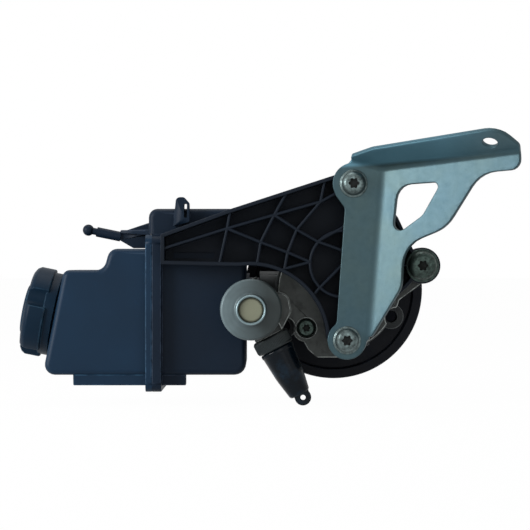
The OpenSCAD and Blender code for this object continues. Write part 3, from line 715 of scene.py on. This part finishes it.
def trimmed(path, loop, keep):
    """The path with its loose ends cut back to lie keep inside the loop."""
    path, step = list(path), 0.0001
    for end, near in ((0, 1), (-1, -2)):
        reach = (path[end] - path[near]).length
        way = (path[end] - path[near]).normalized()
        while reach > 0 and not inside(path[near] + way * (reach + keep), loop):
            reach -= step
        path[end] = path[near] + way * reach
    return path


def path_mesh(paths, level):
    """Paths as chains of edges, each a hair lower than the last; one that meets itself closes."""
    points, edges, hair = [], [], 2e-5
    for k, path in enumerate(paths):
        ring = (path[0] - path[-1]).length < 1e-6
        flat = path[:-1] if ring else path
        base = len(points)
        points += [(v.x, v.y, level - k * hair) for v in flat]
        edges += [(base + i, base + i + 1) for i in range(len(flat) - 1)]
        if ring:
            edges.append((base + len(flat) - 1, base))
    mesh = bpy.data.meshes.new("paths")
    mesh.from_pydata(points, edges, [])
    return mesh


def swept_ribs(name, paths, width, foot, top, edge, finish):
    """Ribs along flat paths, with rounded crests, standing from foot to top against Y."""
    g = Pattern(name, Width=width, Height=top - foot, Edge=edge, Finish=finish)
    line = g.node("GeometryNodeMeshToCurve", {"Mesh": g.inlet("Geometry")})
    line = g.node("GeometryNodeSetCurveNormal", {"Curve": line}, mode="Z_UP")
    section = g.node("GeometryNodeCurvePrimitiveQuadrilateral", {
        "Width": g.inlet("Width"), "Height": g.inlet("Height")}, mode="RECTANGLE")
    section = g.node("GeometryNodeFilletCurve", {
        "Curve": section, "Count": 3, "Radius": g.inlet("Edge"), "Limit Radius": True}, mode="POLY")
    rib = g.node("GeometryNodeCurveToMesh", {
        "Curve": line, "Profile Curve": section, "Fill Caps": True})
    rib = g.node("GeometryNodeTransform", {"Geometry": rib, "Rotation": (RIGHT_ANGLE, 0, 0)})
    return g.made(path_mesh(paths, (foot + top) / 2), rib)


def ring_of_teeth(name, tooth, count, radius, finish):
    """A tooth repeated round Z at a radius."""
    g = Pattern(name, Tooth=tooth, Count=count, Radius=radius, Finish=finish)
    spots = g.node("GeometryNodeMeshCircle", {
        "Vertices": g.inlet("Count"), "Radius": g.inlet("Radius")}, fill_type="NONE")
    aim = g.node("FunctionNodeAlignRotationToVector", {
        "Vector": g.node("GeometryNodeInputPosition")}, axis="X", pivot_axis="Z")
    shape = g.node("GeometryNodeObjectInfo", {"Object": g.inlet("Tooth")}, "Geometry")
    teeth = g.node("GeometryNodeInstanceOnPoints", {
        "Points": spots, "Instance": shape, "Rotation": aim})
    return g.made(bpy.data.meshes.new("start"), teeth)


def fasteners(name, places, head, shank, finish, turn=0.0):
    """A head at each place on a shank of its own length; places hold X, Y, Z and the length."""
    g = Pattern(name, Head=head, Shank_radius=shank, Turn=turn, Finish=finish)
    spots = g.inlet("Geometry")
    way = g.node("FunctionNodeEulerToRotation", {
        "Euler": g.node("ShaderNodeCombineXYZ", {"Z": g.inlet("Turn")})})
    shape = g.node("GeometryNodeObjectInfo", {"Object": g.inlet("Head")}, "Geometry")
    heads = g.node("GeometryNodeInstanceOnPoints", {
        "Points": spots, "Instance": shape, "Rotation": way})
    rod = g.node("GeometryNodeMeshCylinder", {
        "Vertices": 32, "Radius": g.inlet("Shank radius"), "Depth": 1.0})
    rod = g.node("GeometryNodeTransform", {
        "Geometry": rod, "Translation": (0, 0.5, 0), "Rotation": (RIGHT_ANGLE, 0, 0)})
    length = g.node("GeometryNodeInputNamedAttribute", {"Name": "length"}, data_type="FLOAT")
    stretch = g.node("ShaderNodeCombineXYZ", {"X": 1.0, "Y": length, "Z": 1.0})
    rods = g.node("GeometryNodeInstanceOnPoints", {
        "Points": spots, "Instance": rod, "Rotation": way, "Scale": stretch})
    start = bpy.data.meshes.new("places")
    start.from_pydata([p[:3] for p in places], [], [])
    marked(start, "length", "POINT", [p[3] for p in places])
    return g.made(start, g.node("GeometryNodeJoinGeometry", {"Geometry": [heads, rods]}))


def turned_head(name, rings, socket, corners, depth=0.003, count=96):
    """A head about Y that rises against Y: rings of radius and height, then a star socket.

    Above the height corners, if there is one, the head is a hexagon.
    """
    sixth = math.pi / 3
    angles = [2 * math.pi * k / count for k in range(count)]
    star = lambda a, k: socket * k * (0.9 + 0.13 * math.cos(6 * a))
    flat = lambda a: math.cos(sixth / 2) / math.cos((a + sixth / 2) % sixth - sixth / 2)
    rows = [[(r * (flat(a) if h > corners > 0 else 1), h) for a in angles] for r, h in rings]
    crown = rings[-1][1]
    if socket:
        for k, drop in ((1.1, 0), (1.0, 0.00025), (1.0, depth)):
            rows.append([(star(a, k), crown - drop) for a in angles])
    spin = lambda row: [
        (r * math.cos(a), -h, r * math.sin(a)) for a, (r, h) in zip(angles, row)]
    mesh = stacked(name, [spin(row) for row in rows])
    sunk = [float(bool(socket) and k > len(rows) - 3) for k in range(len(rows)) for _ in angles]
    marked(mesh, "cut", "POINT", sunk)
    return mesh


def pan_head(r):
    """Rings of a flanged pan head."""
    flange = [(r, 0.0), (r, 0.0010), (r - 0.0002, 0.0013), (r - 0.0006, 0.0015), (0.9 * r, 0.0016)]
    turns = [RIGHT_ANGLE * k / 9 for k in range(10)]
    dome = [(r * (0.44 + 0.42 * math.cos(a)), 0.0019 + 0.0049 * math.sin(a)) for a in turns]
    return flange + dome


def ridge(name, wide, proud, long):
    """A small ridge along Z that stands out along X."""
    w, h = wide / 2, long / 2
    half = [(-proud, w), (0.3 * proud, w), (proud, 0.35 * w)]
    outline = [(x, -y) for x, y in half] + half[::-1]
    rows = ((-h, 0.4), (-0.85 * h, 1), (0.85 * h, 1), (h, 0.4))
    return stacked(name, [[(x * k if x > 0 else x, y, z) for x, y in outline] for z, k in rows])


def screw_set(node, look, rings, places, shank, socket=0.0, corners=0.0, turn=0.0, slot=None):
    """The piece for a CAD node of like screws."""
    head = added(node + "_head", turned_head(node + "_head", rings, socket, corners))
    mesh = fasteners(node + "_set", places, head, shank, finish(look), turn)
    bpy.data.objects.remove(head)
    crisp(piece(node + "_piece", mesh, NODE_BODY[node], finish(look), node, slot=slot or look), 32)


def toothed(name, tooth, count, radius, place, look):
    """A piece of small ridges round a rim; tooth holds a ridge's width, height and length."""
    lent = added(name + "_tooth", ridge(name + "_tooth", *tooth))
    mesh = ring_of_teeth(name, lent, count, radius, look)
    bpy.data.objects.remove(lent)
    mesh.transform(place)
    crisp(piece(name + "_piece", mesh, "pump", look, slot="union_steel"))


def reach_of(node):
    """The lowest and the highest Y of a CAD node."""
    ys = [v.co.y for v in frame["nodes"][node].data.vertices]
    return min(ys), max(ys)


def on_circle(radius, degrees):
    """Points in X and Z at angles round the shaft."""
    turns = [math.radians(a) for a in degrees]
    return [(radius * math.cos(a), radius * math.sin(a)) for a in turns]


class Sheet:
    """The bracket's three planes and the smooth surface that folds from one to the next."""

    def __init__(self, p):
        turn = lambda a, axis: Matrix.Rotation(a, 4, axis)
        top = Vector(p.fold_top)
        web = Matrix.Translation(top) @ turn(RIGHT_ANGLE, "X") @ turn(-p.fold_lean, "Z")
        web = web @ turn(-p.web_bend, "Y")
        flange = web @ turn(p.crease_rise, "Z") @ turn(p.flange_bend, "X")
        self.normals = [Vector((0, -1, 0)), web.col[2].to_3d(), flange.col[2].to_3d()]
        self.levels = [n.dot(top) + p.sheet / 2 for n in self.normals]
        self.soft = (p.fold_soft, p.crease_soft)

    def depths(self, x, z):
        return [(level - n.x * x - n.z * z) / n.y for n, level in zip(self.normals, self.levels)]

    def depth(self, x, z):
        strip, web, flange = self.depths(x, z)
        return self.join(self.join(strip, web, self.soft[0]), flange, self.soft[1])

    def join(self, a, b, k):
        h = max(k - abs(a - b), 0) / k
        return min(a, b) - h * h * k / 4

    def point(self, v):
        return Vector((v.x, self.depth(v.x, v.y), v.y))

    def normal(self, v, d=1e-5):
        slope = lambda dx, dz: (
            self.depth(v.x + dx, v.y + dz) - self.depth(v.x - dx, v.y - dz)) / (2 * d)
        return Vector((slope(d, 0), -1, slope(0, d))).normalized()

    def stepped(self, loop, step, wide_step=0.003, long=0.008):
        """The loop with points added, closely where the sheet bends and on long sides."""
        out = []
        for a, b in zip(loop, after(loop)):
            middle = (a + b) / 2
            fine = any(self.bends(q.x, q.y) for q in (a, middle, b)) or (b - a).length > long
            count = max(1, math.ceil((b - a).length / (step if fine else wide_step)))
            out += [a.lerp(b, k / count) for k in range(count)]
        return out

    def bends(self, x, z):
        strip, web, flange = self.depths(x, z)
        gaps = (strip - web, min(strip, web) - flange)
        return any(abs(gap) < 1.3 * soft for gap, soft in zip(gaps, self.soft))


def folded_sheet(p):
    """The bracket as one drawn sheet: its outline from the solid, its folds and rims rounded."""
    sheet = Sheet(p)
    rim_gap, flat_every = 1.2e-6, 5
    faces = front_loops(welded("support_bracket"), *zip(sheet.normals, sheet.levels))
    verts, tris, _ = filled([lp for loops in faces for lp in loops])
    rims = [relaxed(sheet.stepped(lp, p.fold_step), p.rim) for lp in rim_loops(verts, tris)]
    near = np.array([v for lp in rims for v in lp])
    low, high = near.min(0), near.max(0)
    inner = []
    for i in range(int((high[0] - low[0]) / p.fold_step) + 1):
        for j in range(int((high[1] - low[1]) / p.fold_step) + 1):
            x, z = low[0] + i * p.fold_step, low[1] + j * p.fold_step
            if sheet.bends(x, z) or (i % flat_every == 0 and j % flat_every == 0):
                if ((near - (x, z)) ** 2).sum(1).min() > rim_gap:
                    inner.append(Vector((x, z)))
    verts, tris, ways = filled([inset(lp, p.rim) for lp in rims], inner)
    front = [sheet.point(v) for v in verts]
    count = len(front)
    back = [q - sheet.normal(v) * p.sheet for q, v in zip(front, verts)]
    points = front + back
    cut = [0.0] * len(points)
    faces = [list(t) for t in tris] + [[i + count for i in t] for t in tris]
    turns = [math.radians(a) for a in (30, 60, 90)]
    for lp, way in zip(rims, ways):
        out = [sheet.point(v) - front[i] for v, i in zip(lp, way)]
        down = [sheet.normal(v) for v in lp]
        rows = [(math.sin(a), p.rim * (1 - math.cos(a))) for a in turns]
        rows += [(s, p.sheet - d) for s, d in rows[::-1]]
        wall = [[front[i] + o * s - n * d for i, o, n in zip(way, out, down)] for s, d in rows]
        cut += [1.0 if s > 0.8 else 0.25 for s, _ in rows for _ in way]
        last = skirted(points, faces, way, wall)
        faces += sides(last, [i + count for i in way])
    used = sorted({i for f in faces for i in f})
    place = {i: k for k, i in enumerate(used)}
    faces = [[place[i] for i in f] for f in faces]
    mesh = closed("bracket_sheet", [points[i] for i in used], faces)
    marked(mesh, "cut", "POINT", [cut[i] for i in used])
    return mesh


def rim_loops(verts, tris):
    """The outlines of a flat patch of triangles, each with the patch on its left."""
    ways = {(a, b) for t in tris for a, b in zip(t, t[1:] + t[:1])}
    steps = [(a, b) for a, b in ways if (b, a) not in ways]
    rings = chained(dict(reversed(steps)))
    return [unfolded(cleaned([verts[i] for i in ring])) for ring in rings]


# Sizes and colours that a user would change


def length_prop(name, description, default):
    return bpy.props.FloatProperty(
        name=name, description=description, default=default, unit="LENGTH")


def angle_prop(name, description, degrees):
    return bpy.props.FloatProperty(
        name=name, description=description, default=math.radians(degrees), subtype="ANGLE")


def colour_prop(name, description, rgb):
    return bpy.props.FloatVectorProperty(
        name=name, description=description, default=srgb(*rgb), subtype="COLOR", size=4,
        min=0, max=1)


class PumpSizes(bpy.types.PropertyGroup):
    """Sizes of the pieces that are shaped here."""

    edge: length_prop("Moulded edge", "Rounding of the moulded edges", 0.0006)
    fold_top: bpy.props.FloatVectorProperty(
        name="Fold top", description="Where the bracket's three planes meet",
        default=(0.0299, -0.0936, 0.0831), subtype="TRANSLATION")
    sheet: length_prop("Sheet", "Thickness of the bracket's sheet", 0.0032)
    fold_lean: angle_prop("Fold lean", "Lean of the long fold", 4.9)
    web_bend: angle_prop("Web bend", "Bend of the web", 30)
    crease_rise: angle_prop("Crease rise", "Rise of the upper fold", 9.5)
    flange_bend: angle_prop("Flange bend", "Bend of the flange", 58)
    fold_soft: length_prop("Long fold", "Softness of the long fold", 0.0020)
    crease_soft: length_prop("Upper fold", "Softness of the upper fold", 0.0034)
    rim: length_prop("Rim", "Rounding of the sheet's rim", 0.0006)
    rib: length_prop("Rib", "Thickness of the arm's ribs", 0.002)
    knurl: bpy.props.IntProperty(
        name="Knurl", description="Ridges round the collar; the union's rim has more", default=72)
    fold_step: length_prop("Fold step", "Spacing of the points over the folds", 0.0008)


class PumpColours(bpy.types.PropertyGroup):
    """Colours of the finishes."""

    # The two halves are one navy plastic: the pump side's darker colour is painted shade, and the
    # cap side's lighter, bluer colour a painted sheen.
    reservoir: colour_prop("Reservoir", "Left reservoir moulding", (12, 36, 56))
    reservoir_dark: colour_prop("Reservoir, pump side", "Right reservoir moulding", (13, 26, 40))
    arm: colour_prop("Arm", "Ribbed carrier arm", (16, 23, 32))
    cap: colour_prop("Cap", "Filler cap", (8, 27, 42))
    rubber: colour_prop("Rubber", "Seals and dust cap", (4, 11, 18))
    alloy: colour_prop("Alloy", "Cast rear cover", (66, 69, 68))
    alloy_dark: colour_prop("Dark alloy", "Cast pump body", (44, 47, 48))
    zinc: colour_prop("Zinc", "Folded bracket", (48, 69, 74))
    bolts: colour_prop("Bolts", "Silver bolts", (88, 101, 101))
    dark_bolt: colour_prop("Dark bolt", "Bolt of the right lug", (54, 66, 62))
    union: colour_prop("Union", "Outlet union", (94, 109, 113))
    # The collar's dark grey is painted shade: the steel collar is darkened to the shade it sits in
    # behind the outlet union.
    can: colour_prop("Can", "Knurled collar of the control valve", (34, 40, 42))
    plug: colour_prop("Plug", "Shipping plug", (118, 120, 102))
    pulley: colour_prop("Pulley", "Belt pulley", (15, 18, 24))
    steel: colour_prop("Steel", "Shaft, hub and cartridge", (150, 152, 154))
    bronze: colour_prop("Bronze", "Bushes", (168, 130, 76))
    copper: colour_prop("Copper", "Union washer", (176, 112, 66))
    filter: colour_prop("Filter", "Suction strainer", (200, 192, 162))


def sizes():
    return bpy.context.scene.pump_sizes


def colours():
    return bpy.context.scene.pump_colours


def finish(slot):
    """The finish of a material slot, made once."""
    c = colours()
    looks = {
        "reservoir_blue": partial(moulded, colour=c.reservoir),
        "reservoir_dark": partial(moulded, colour=c.reservoir_dark, shine=0.1),
        "arm_black": partial(moulded, colour=c.arm, gloss=0.5, grain=0.4, shine=0.1),
        "cap_black": partial(moulded, colour=c.cap, gloss=0.42, shine=0.08),
        "rubber_black": partial(rubbery, colour=c.rubber),
        # The dust cap's much paler bluish patches are a painted sheen.
        "vinyl_black": partial(rubbery, colour=c.rubber, gloss=0.24, haze_and_sheen=6.0),
        "filter_cream": partial(fibre, colour=c.filter),
        "cast_alloy": partial(cast_metal, colour=c.alloy),
        "cast_dark": partial(cast_metal, colour=c.alloy_dark, worn=0.3),
        "cartridge_steel": partial(machined, colour=c.steel),
        "bush_bronze": partial(machined, colour=c.bronze, gloss=0.35),
        "washer_copper": partial(machined, colour=c.copper, gloss=0.35),
        "pulley_black": partial(painted, colour=c.pulley),
        "hub_steel": partial(machined, colour=shade(c.steel, 0.5), gloss=0.4),
        "can_steel": partial(plated, colour=c.can, gloss=0.38, metal=0.7),
        "union_steel": partial(faced, colour=c.union, middle=UNION),
        "plug_beige": partial(plugged, colour=c.plug, middle=UNION),
        "bracket_zinc": partial(plated, colour=c.zinc, gloss=0.35, metal=0.62, sheet=True),
        "bolt_silver": partial(weathered, colour=c.bolts),
        "bolt_dark": partial(weathered, colour=c.dark_bolt, gloss=0.4),
    }
    if slot not in FINISHES:
        FINISHES[slot] = looks[slot](slot)
    return FINISHES[slot]


def coat(slot, *nodes):
    """Gives CAD nodes that keep their own mesh a finish."""
    for node in nodes:
        mesh = frame["nodes"][node].data
        mesh.materials.clear()
        mesh.materials.append(finish(slot))


# Operators: one for each piece or group of like pieces


class PUMP_OT_reservoir(bpy.types.Operator):
    """Makes the two welded reservoir mouldings"""

    bl_idname = "pump.reservoir"
    bl_label = "Reservoir"

    def execute(self, context):
        # The pump-side half takes a darker copy of the same plastic, as painted shade.
        for side, look in (("cap", "reservoir_blue"), ("pump", "reservoir_dark")):
            dressed(
                f"reservoir_{side}_shell", finish(look), 0.0007, angle=50, slot="reservoir_blue",
                least=0.004)
        coat("filter_cream", "strainer")
        coat("rubber_black", "suction_seal")
        return {"FINISHED"}


class PUMP_OT_cap(bpy.types.Operator):
    """Makes the filler cap and its seal"""

    bl_idname = "pump.cap"
    bl_label = "Filler cap"

    def execute(self, context):
        dressed("filler_cap", finish("cap_black"), 0.0006, 3, slot="cap_black")
        coat("rubber_black", "cap_seal")
        return {"FINISHED"}


class PUMP_OT_arm(bpy.types.Operator):
    """Makes the ribbed carrier arm and its sleeves"""

    bl_idname = "pump.arm"
    bl_label = "Carrier arm"

    # Levels along the shaft in metres; bosses, hoop and rib crossings in X and Z, in millimetres
    front, crest, plate, back = -0.092, -0.0908, -0.0726, -0.070
    foot_sunk, rib_keep = 0.0004, 0.0012
    upper, lower, right = (10, 72.6), (5.5, -32.8), (56.5, 17.4)
    hoop, hoop_r, hoop_steps = (3.4, 18.6), 22.4, 72
    knots = (
        (-75, 42.5), (-43.2, 51.6), (-52.4, 33.2), (-28, 41.7), (-34.2, 26.3),
        (-14, 33.7), (-18.9, 19.9), (-12, 60.5), (-36.3, 15.2), (-13, 2))

    def rib_paths(self, outline):
        """Middle lines of the ribs: straight chains from wall to wall, then the hoop."""
        n = self.knots
        stop = lambda p, q, r: tuple(Vector(p) + (Vector(q) - Vector(p)).normalized() * r)
        chains = [
            [(-120.9, 28), n[0], n[1], n[7], stop(self.upper, n[7], 8.4)],
            [n[0], n[2], n[4], n[6]],
            [n[1], n[3], n[5], (25.6, 19.5)],
            [(-72, 60), n[0], (-81, 15)],
            [(-33, 70), n[1], n[2], (-55.5, 14)],
            [(-8, 80), n[7], n[3], n[4], n[8]],
            [n[5], (2, 42.5), (34, 66)],
            [(-46, 10), n[8], n[6]],
            [(-20, -6), n[9], self.hoop, stop(self.right, self.hoop, 8.6)],
            [stop(self.upper, self.hoop, 8.4), self.hoop, stop(self.lower, self.hoop, 9)],
        ]
        paths = [[Vector(p) * MM for p in chain] for chain in chains]
        turns = [2 * math.pi * k / self.hoop_steps for k in range(self.hoop_steps + 1)]
        spoke = lambda a: self.hoop_r * Vector((math.cos(a), math.sin(a)))
        hoop = [(Vector(self.hoop) + spoke(a)) * MM for a in turns]
        return [trimmed(path, outline, self.rib_keep) for path in paths] + [hoop]

    def execute(self, context):
        p, look = sizes(), finish("arm_black")
        walls, floor = front_loops(
            welded("carrier_arm", flats=False),
            (Vector((0, -1, 0)), -self.front), (Vector((0, 1, 0)), self.back))
        floor = [lp[::-1] for lp in floor]
        paths = self.rib_paths(max(floor, key=area_of))
        ribs = swept_ribs(
            "arm_ribs", paths, p.rib, -self.plate - self.foot_sunk, -self.crest, 0.4 * p.rib, look)
        mesh = joined(
            "carrier_arm_mesh",
            soft_slab("arm_wall", walls, self.front, self.plate, p.edge),
            soft_slab("arm_floor", floor, self.plate, self.back, 0.00005, 1), ribs)
        crisp(piece("carrier_arm_piece", mesh, "pump", look, "carrier_arm", slot="arm_black"))
        coat("hub_steel", "boss_sleeves")
        return {"FINISHED"}


class PUMP_OT_bracket(bpy.types.Operator):
    """Makes the folded support bracket"""

    bl_idname = "pump.bracket"
    bl_label = "Support bracket"

    def execute(self, context):
        crisp(piece(
            "support_bracket_piece", folded_sheet(sizes()), "pump", finish("bracket_zinc"),
            "support_bracket", slot="bracket_zinc"), 60)
        return {"FINISHED"}


class PUMP_OT_fasteners(bpy.types.Operator):
    """Makes the bolts, screws and the nut"""

    bl_idname = "pump.fasteners"
    bl_label = "Bolts and screws"

    # X, Y and Z of each bolt's seat and the length of its shank
    strip_bolts = ((0.010, -0.0952, 0.0726, 0.0332), (0.0055, -0.0952, -0.0328, 0.0372))
    lug_bolts = ((0.0565, -0.092, 0.0174, 0.034),)
    strip_head, lug_head = pan_head(0.0094), pan_head(0.0112)
    drum = ((0.0062, 0), (0.0062, 0.0040), (0.0060, 0.0044), (0.0050, 0.0054), (0.0047, 0.0056))
    screw_places, screw_end = on_circle(0.033, (110, 230, 350)), -0.038

    def execute(self, context):
        bolt = {"shank": 0.004, "socket": 0.0034}
        screw_set("bracket_bolts", "bolt_silver", self.strip_head, self.strip_bolts, **bolt)
        screw_set("lug_bolt", "bolt_dark", self.lug_head, self.lug_bolts, **bolt)
        seat = reach_of("cover_screws")[0] + self.drum[-1][1]
        places = [(x, seat, z, self.screw_end - seat) for x, z in self.screw_places]
        screw_set("cover_screws", "bolt_dark", self.drum, places, shank=0.0026, socket=0.0025)
        dressed("upper_nut", finish("bolt_silver"), 0.0003, slot="bolt_silver", flats=False)
        return {"FINISHED"}


class PUMP_OT_outlet(bpy.types.Operator):
    """Makes the outlet union with its plug and washer"""

    bl_idname = "pump.outlet"
    bl_label = "Outlet union"

    tooth, rim_r, more_teeth = (0.0007, 0.0003, 0.0032), 0.02055, 24

    def execute(self, context):
        face = finish("union_steel")
        dressed("outlet_union", face, 0.0003, slot="union_steel")
        place = Matrix.Translation(UNION) @ Matrix.Rotation(RIGHT_ANGLE, 4, "X")
        toothed("union_rim", self.tooth, sizes().knurl + self.more_teeth, self.rim_r, place, face)
        dressed("port_plug", finish("plug_beige"), 0.0003, slot="plug_beige")
        coat("washer_copper", "union_washer")
        return {"FINISHED"}


class PUMP_OT_valve(bpy.types.Operator):
    """Makes the control valve with its solenoid and dust cap"""

    bl_idname = "pump.valve"
    bl_label = "Control valve"

    tooth, collar_r, collar_in = (0.0009, 0.00035, 0.0066), 0.01275, 0.0034
    collar_seat, lean = (-0.0426, -0.081, -0.0374), math.radians(180 - 27.5)
    end_coil = 0.0011

    def execute(self, context):
        dressed("dust_cap", finish("vinyl_black"), 0.0003, 3, slot="cap_black")
        can = finish("can_steel")
        dressed("solenoid_can", can, 0.0004, slot="union_steel")
        place = Matrix.Translation(self.collar_seat) @ Matrix.Rotation(self.lean, 4, "Y")
        place = place @ Matrix.Translation((0, 0, -self.collar_in))
        toothed("collar_knurl", self.tooth, sizes().knurl, self.collar_r, place, can)
        coat("cap_black", "connector_body")
        coat("washer_copper", "terminal_pins")
        coat("cartridge_steel", "flow_spool")
        self.spring()
        return {"FINISHED"}

    def spring(self):
        """The flow spring: its CAD mesh, smooth-shaded, in place of the CAD node."""
        mesh = welded("flow_spring", flats=False)
        mesh.shade_smooth()
        steel = finish("cartridge_steel")
        coil = piece(
            "flow_spring_piece", mesh, None, steel, "flow_spring", slot="cartridge_steel")
        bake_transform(coil)


class PUMP_OT_casting(bpy.types.Operator):
    """Makes the cast pump body and its rear cover"""

    bl_idname = "pump.casting"
    bl_label = "Pump body"

    def execute(self, context):
        for node, look in (("pump_housing", "cast_dark"), ("rear_cover", "cast_alloy")):
            dressed(node, finish(look), 0.0006, slot="cast_alloy", flats=False)
        coat("rubber_black", "cover_seal")
        return {"FINISHED"}


class PUMP_OT_cartridge(bpy.types.Operator):
    """Finishes the vane cartridge, bushes and shaft seal"""

    bl_idname = "pump.cartridge"
    bl_label = "Vane cartridge"

    def execute(self, context):
        vanes = [f"vane_{i}" for i in range(1, 11)]
        coat(
            "cartridge_steel", "cam_ring", "front_side_plate", "rear_side_plate", "dowel_pins",
            "rotor", "rotor_circlip", "retaining_ring", *vanes)
        coat("bush_bronze", "front_bush", "rear_bush")
        coat("rubber_black", "shaft_seal")
        return {"FINISHED"}


class PUMP_OT_drive(bpy.types.Operator):
    """Makes the belt pulley, hub, shaft and pulley screws"""

    bl_idname = "pump.drive"
    bl_label = "Belt drive"

    washer, screw_places = 0.0012, on_circle(0.019, (90, 210, 330))
    screw_head = (
        (0.0054, 0), (0.0054, 0.0009), (0.0051, washer), (0.0046, 0.00121), (0.0046, 0.0041),
        (0.0040, 0.0046))

    def execute(self, context):
        dressed("pulley", finish("pulley_black"), 0.0003, slot="pulley_black")
        dressed("drive_hub", finish("hub_steel"), 0.0004, slot="hub_steel")
        dressed("drive_shaft", finish("cartridge_steel"), 0.0003, slot="cartridge_steel")
        low, top = reach_of("pulley_screws")
        seat = top - self.screw_head[-1][1]
        places = [(x, seat, z, seat - low) for x, z in self.screw_places]
        screw_set(
            "pulley_screws", "bolt_silver", self.screw_head, places, shank=0.003,
            corners=self.washer, turn=math.pi, slot="hub_steel")
        return {"FINISHED"}


class PUMP_OT_stage(bpy.types.Operator):
    """Sets the floor, the studio light and the camera"""

    bl_idname = "pump.stage"
    bl_label = "Stage"

    eye, lens, film = (-0.04951, -1.495, 0.01784), 141.5, 36
    floor_half, floor_gap = 14.0, 0.0012

    def execute(self, context):
        scene = context.scene
        scene.view_settings.view_transform = "Standard"
        self.floor()
        self.sky(scene)
        self.lamp("key", (-1.17, -0.72, 0.30), (-0.03, -0.06, 0.02), size=0.7, watts=19)
        self.lamp("fill", (0.25, -1.3, 0.12), (0.0, -0.05, 0.04), size=0.9, watts=2.6)
        self.lamp("top", (-0.1, 0.1, 1.25), (0.0, 0.0, 0.0), size=0.9, watts=6)
        camera = added("camera", bpy.data.cameras.new("camera"))
        camera.location = self.eye
        camera.rotation_euler = (RIGHT_ANGLE, 0, 0)
        camera.data.lens = self.lens
        camera.data.sensor_width = self.film
        scene.camera = camera
        return {"FINISHED"}

    def lamp(self, name, place, aim, size, watts):
        data = bpy.data.lights.new(name, "AREA")
        data.shape = "DISK"
        data.size = size
        data.energy = watts
        lamp = added(name, data)
        lamp.location = place
        lamp.visible_camera = False
        lamp.rotation_euler = (Vector(place) - Vector(aim)).to_track_quat("Z", "Y").to_euler()

    def split(self, tree, end, lit, shown, share):
        """Fills a tree with one shader for rays that only light and one for rays that show it."""
        g = Graph(tree)
        tree.nodes.clear()
        path = lambda name: g.node("ShaderNodeLightPath", out=name)
        either = lambda a, b: g.node("ShaderNodeMath", {0: a, 1: b}, operation="MAXIMUM")
        direct = either(path("Is Camera Ray"), path("Is Glossy Ray"))
        direct = either(direct, path("Is Transmission Ray"))
        g.node(end, {"Surface": g.node("ShaderNodeMixShader", {
            0: direct * share, 1: g.node(*lit), 2: g.node(*shown)})})

    def floor(self):
        mesh = bpy.data.meshes.new("floor")
        r, z = self.floor_half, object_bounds()[0][2] - self.floor_gap
        mesh.from_pydata([(-r, -r, z), (r, -r, z), (r, r, z), (-r, r, z)], [], [(0, 1, 2, 3)])
        floor = added("floor", mesh)
        material = bpy.data.materials.new("floor_white")
        material.use_nodes = True
        paper = ("ShaderNodeBsdfDiffuse", {"Color": (0.9, 0.9, 0.9, 1)})
        glow = ("ShaderNodeEmission", {"Color": (1, 1, 1, 1), "Strength": 1.0})
        self.split(material.node_tree, "ShaderNodeOutputMaterial", paper, glow, 0.985)
        mesh.materials.append(material)
        floor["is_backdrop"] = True

    def sky(self, scene):
        world = bpy.data.worlds.new("studio")
        world.use_nodes = True
        soft = ("ShaderNodeBackground", {"Color": (0.93, 0.97, 1.0, 1), "Strength": 0.27})
        white = ("ShaderNodeBackground", {"Color": (1, 1, 1, 1), "Strength": 1.0})
        self.split(world.node_tree, "ShaderNodeOutputWorld", soft, white, 1.0)
        scene.world = world


class PUMP_PT_panel(bpy.types.Panel):
    """Lists the pump's pieces, sizes and colours"""

    bl_idname = "PUMP_PT_panel"
    bl_label = "Power steering pump"
    bl_space_type = "VIEW_3D"
    bl_region_type = "UI"
    bl_category = "Pump"

    def draw(self, context):
        for operator in OPERATORS:
            self.layout.operator(operator.bl_idname)
        for group in (context.scene.pump_sizes, context.scene.pump_colours):
            for key in group.bl_rna.properties.keys():
                if key not in {"rna_type", "name"}:
                    self.layout.prop(group, key)


OPERATORS = (
    PUMP_OT_reservoir, PUMP_OT_cap, PUMP_OT_arm, PUMP_OT_bracket, PUMP_OT_fasteners,
    PUMP_OT_outlet, PUMP_OT_valve, PUMP_OT_casting, PUMP_OT_cartridge, PUMP_OT_drive,
    PUMP_OT_stage,
)
CLASSES = (PumpSizes, PumpColours, *OPERATORS, PUMP_PT_panel)


def register():
    for cls in CLASSES:
        bpy.utils.register_class(cls)
    bpy.types.Scene.pump_sizes = bpy.props.PointerProperty(type=PumpSizes)
    bpy.types.Scene.pump_colours = bpy.props.PointerProperty(type=PumpColours)


def unregister():
    del bpy.types.Scene.pump_colours
    del bpy.types.Scene.pump_sizes
    for cls in reversed(CLASSES):
        bpy.utils.unregister_class(cls)


def main():
    register()
    for operator in OPERATORS:
        group, call = operator.bl_idname.split(".")
        getattr(getattr(bpy.ops, group), call)()


if __name__ == "__main__":
    main()
